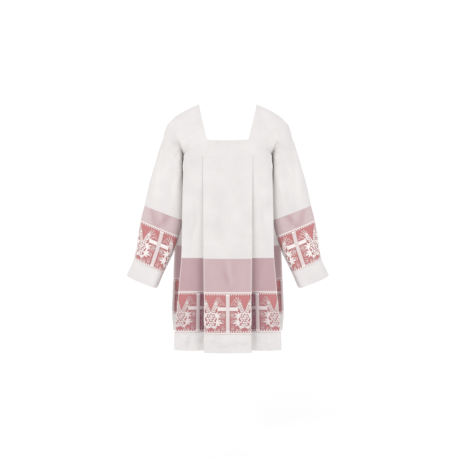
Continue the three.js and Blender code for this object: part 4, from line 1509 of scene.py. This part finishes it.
def make_skirt_bands(side, back, looks):
    """The lining and the net over it."""
    cloth = lengthened(*tucked(*creased_skirt(NET_TOP, LACE_BOTTOM, back, NET_CREASES, waves=0.5)))
    tone = lining_tone(cloth[0])
    make_piece("lining", side, cloth, LINING_THICK, looks["lining"], LINING_OFFSET, tone)
    cloth = lengthened(*tucked(*creased_skirt(NET_TOP, LACE_TOP, back, NET_CREASES, step=5, waves=0.5)))
    make_piece("net", side, cloth, SKIN, looks["net"], tone=net_tone(cloth[0], back))


def make_skirt_lace(side, back, looks, motif):
    grid, normal = creased_skirt(LACE_TOP, LACE_BOTTOM, back, (), step=5, waves=0.4)
    surface = surface_of(grid, normal, LACE_BAND, across_half(grid, LACE_TONE))
    lace = threadwork(f"lace_{side}_cloth", motif, surface, surface.u[0] + 1, surface.u[-1] - 1)
    dress(lace, *looks["lace"], [f"lace_{side}"])
    # Pale strips along the folds, laid as painted highlights
    folds = fold_highlights(f"lace_fold_highlights_{side}", surface)
    dress(folds, *looks["lace"])
    declare(flat_size(grid), cloth_area(grid) * LACE_COVER)


def make_skirt_hem(side, back, looks):
    cloth = creased_skirt(LACE_BOTTOM, HEM, back, HEM_CREASES, step=4, waves=0.9)
    rows = seam_stitches(f"hem_stitches_{side}", cloth, HEM_BAND, HEM_STITCHES, looks["thread"])
    # The hem takes a share of the same painted light in its recesses
    tone = across_half(cloth[0], COTTON_PAINTED_LIGHT) * HEM_SHARE
    make_piece("hem", side, cloth, HEM_THICK, looks["cotton"], HEM_OFFSET, tone)


def make_yoke(side, looks):
    grid, normal, middle, corner = yoke_grid(side == "back")
    left, right = middle - NECK_COLUMNS, middle + NECK_COLUMNS

    def is_cloth(row, column):
        return row >= corner or column >= right or column < left

    obj = shell(f"yoke_{side}_cloth", grid, normal, COTTON, keep=is_cloth, tone=yoke_painted_light(grid))
    dress(obj, *looks["cotton"], [f"yoke_{side}"])
    strap = grid[:, right:]
    area = 2 * cloth_area(strap) + cloth_area(grid[corner:, left:right + 1])
    declare((flat_size(grid)[0], flat_size(strap)[1]), area)


def make_sleeve_lace(side, hand, looks, motif):
    """The lace round a sleeve, in a front and a back half. It is painted deeper on the uprights of its
    crosses, as painted shade.
    """
    grid, normal = creased_sleeve(SLEEVE_LACE_TOP, SLEEVE_LACE_BOTTOM, hand, step=4)
    half_way = AROUND // 2
    for half, first in (("front", 0), ("back", -half_way)):
        columns = np.arange(first, first + half_way + 1)
        u = columns / AROUND * SLEEVE_LACE_SPAN
        part, part_normal = grid[:, columns % AROUND], normal[:, columns % AROUND]
        from_cross = np.abs((u + LACE_REPEAT / 2) % LACE_REPEAT - LACE_REPEAT / 2)
        stops = (CROSS_WIDTH / 2, CROSS_WIDTH / 2 + 3)
        # Painted shade on the crosses' uprights
        tone = np.interp(from_cross, stops, (SLEEVE_CROSS_SHADE, SLEEVE_GROUND_TONE))
        surface = Surface(part, part_normal, u, np.linspace(0, LACE_BAND, len(part)), tone)
        lace = threadwork(f"sleeve_lace_{side}_{half}_cloth", motif, surface, u[0] + 0.5, u[-1] - 0.5)
        dress(lace, *looks["lace"], [f"sleeve_lace_{side}_{half}"])
        declare(flat_size(part), cloth_area(part) * LACE_COVER)


def make_sleeve(side, hand, looks, motif):
    cloth = tucked(*creased_sleeve(0, SLEEVE_NET_TOP, hand))
    tone = sleeve_tone(cloth[0], SLEEVE_COTTON_PAINTED_LIGHT, COTTON_HIGHLIGHT_STREAKS)
    make_piece("sleeve", side, cloth, COTTON, looks["cotton"], tone=tone, closed=True)

    cloth = lengthened(*tucked(*creased_sleeve(SLEEVE_NET_TOP, SLEEVE_LACE_BOTTOM, hand)))
    look = looks["lining"]
    make_piece("sleeve_lining", side, cloth, LINING_THICK, look, LINING_OFFSET, SLEEVE_LINING_TONE, True)

    cloth = lengthened(*tucked(*creased_sleeve(SLEEVE_NET_TOP, SLEEVE_LACE_TOP, hand, step=4)))
    tone = sleeve_tone(cloth[0], SLEEVE_NET_LEVEL, SLEEVE_NET_SHADE_AND_SHEEN_STREAKS)
    make_piece("sleeve_net", side, cloth, SKIN, looks["net"], tone=tone, closed=True)

    make_sleeve_lace(side, hand, looks, motif)

    cloth = creased_sleeve(SLEEVE_LACE_BOTTOM, SLEEVE_END, hand, step=4)
    tone = sleeve_tone(cloth[0], CUFF_PAINTED_LIGHT)
    make_piece("cuff", side, cloth, HEM_THICK, looks["cotton"], HEM_OFFSET, tone, True)


def main():
    make_camera()
    make_stage()
    looks = {
        "cotton": (cotton_material(), "cotton"),
        "net": (net_material(), "net"),
        "lining": (lining_material(), "lining"),
        "lace": (lace_material(), "lace"),
        "thread": (thread_material(), "cotton"),
    }
    motif = lace_repeat()
    for side in ("front", "back"):
        back = side == "back"
        make_yoke(side, looks)
        make_skirt_cotton(side, back, looks)
        make_skirt_bands(side, back, looks)
        make_skirt_lace(side, back, looks, motif)
        make_skirt_hem(side, back, looks)
    for side, hand in (("left", 1), ("right", -1)):
        make_sleeve(side, hand, looks, motif)


main()
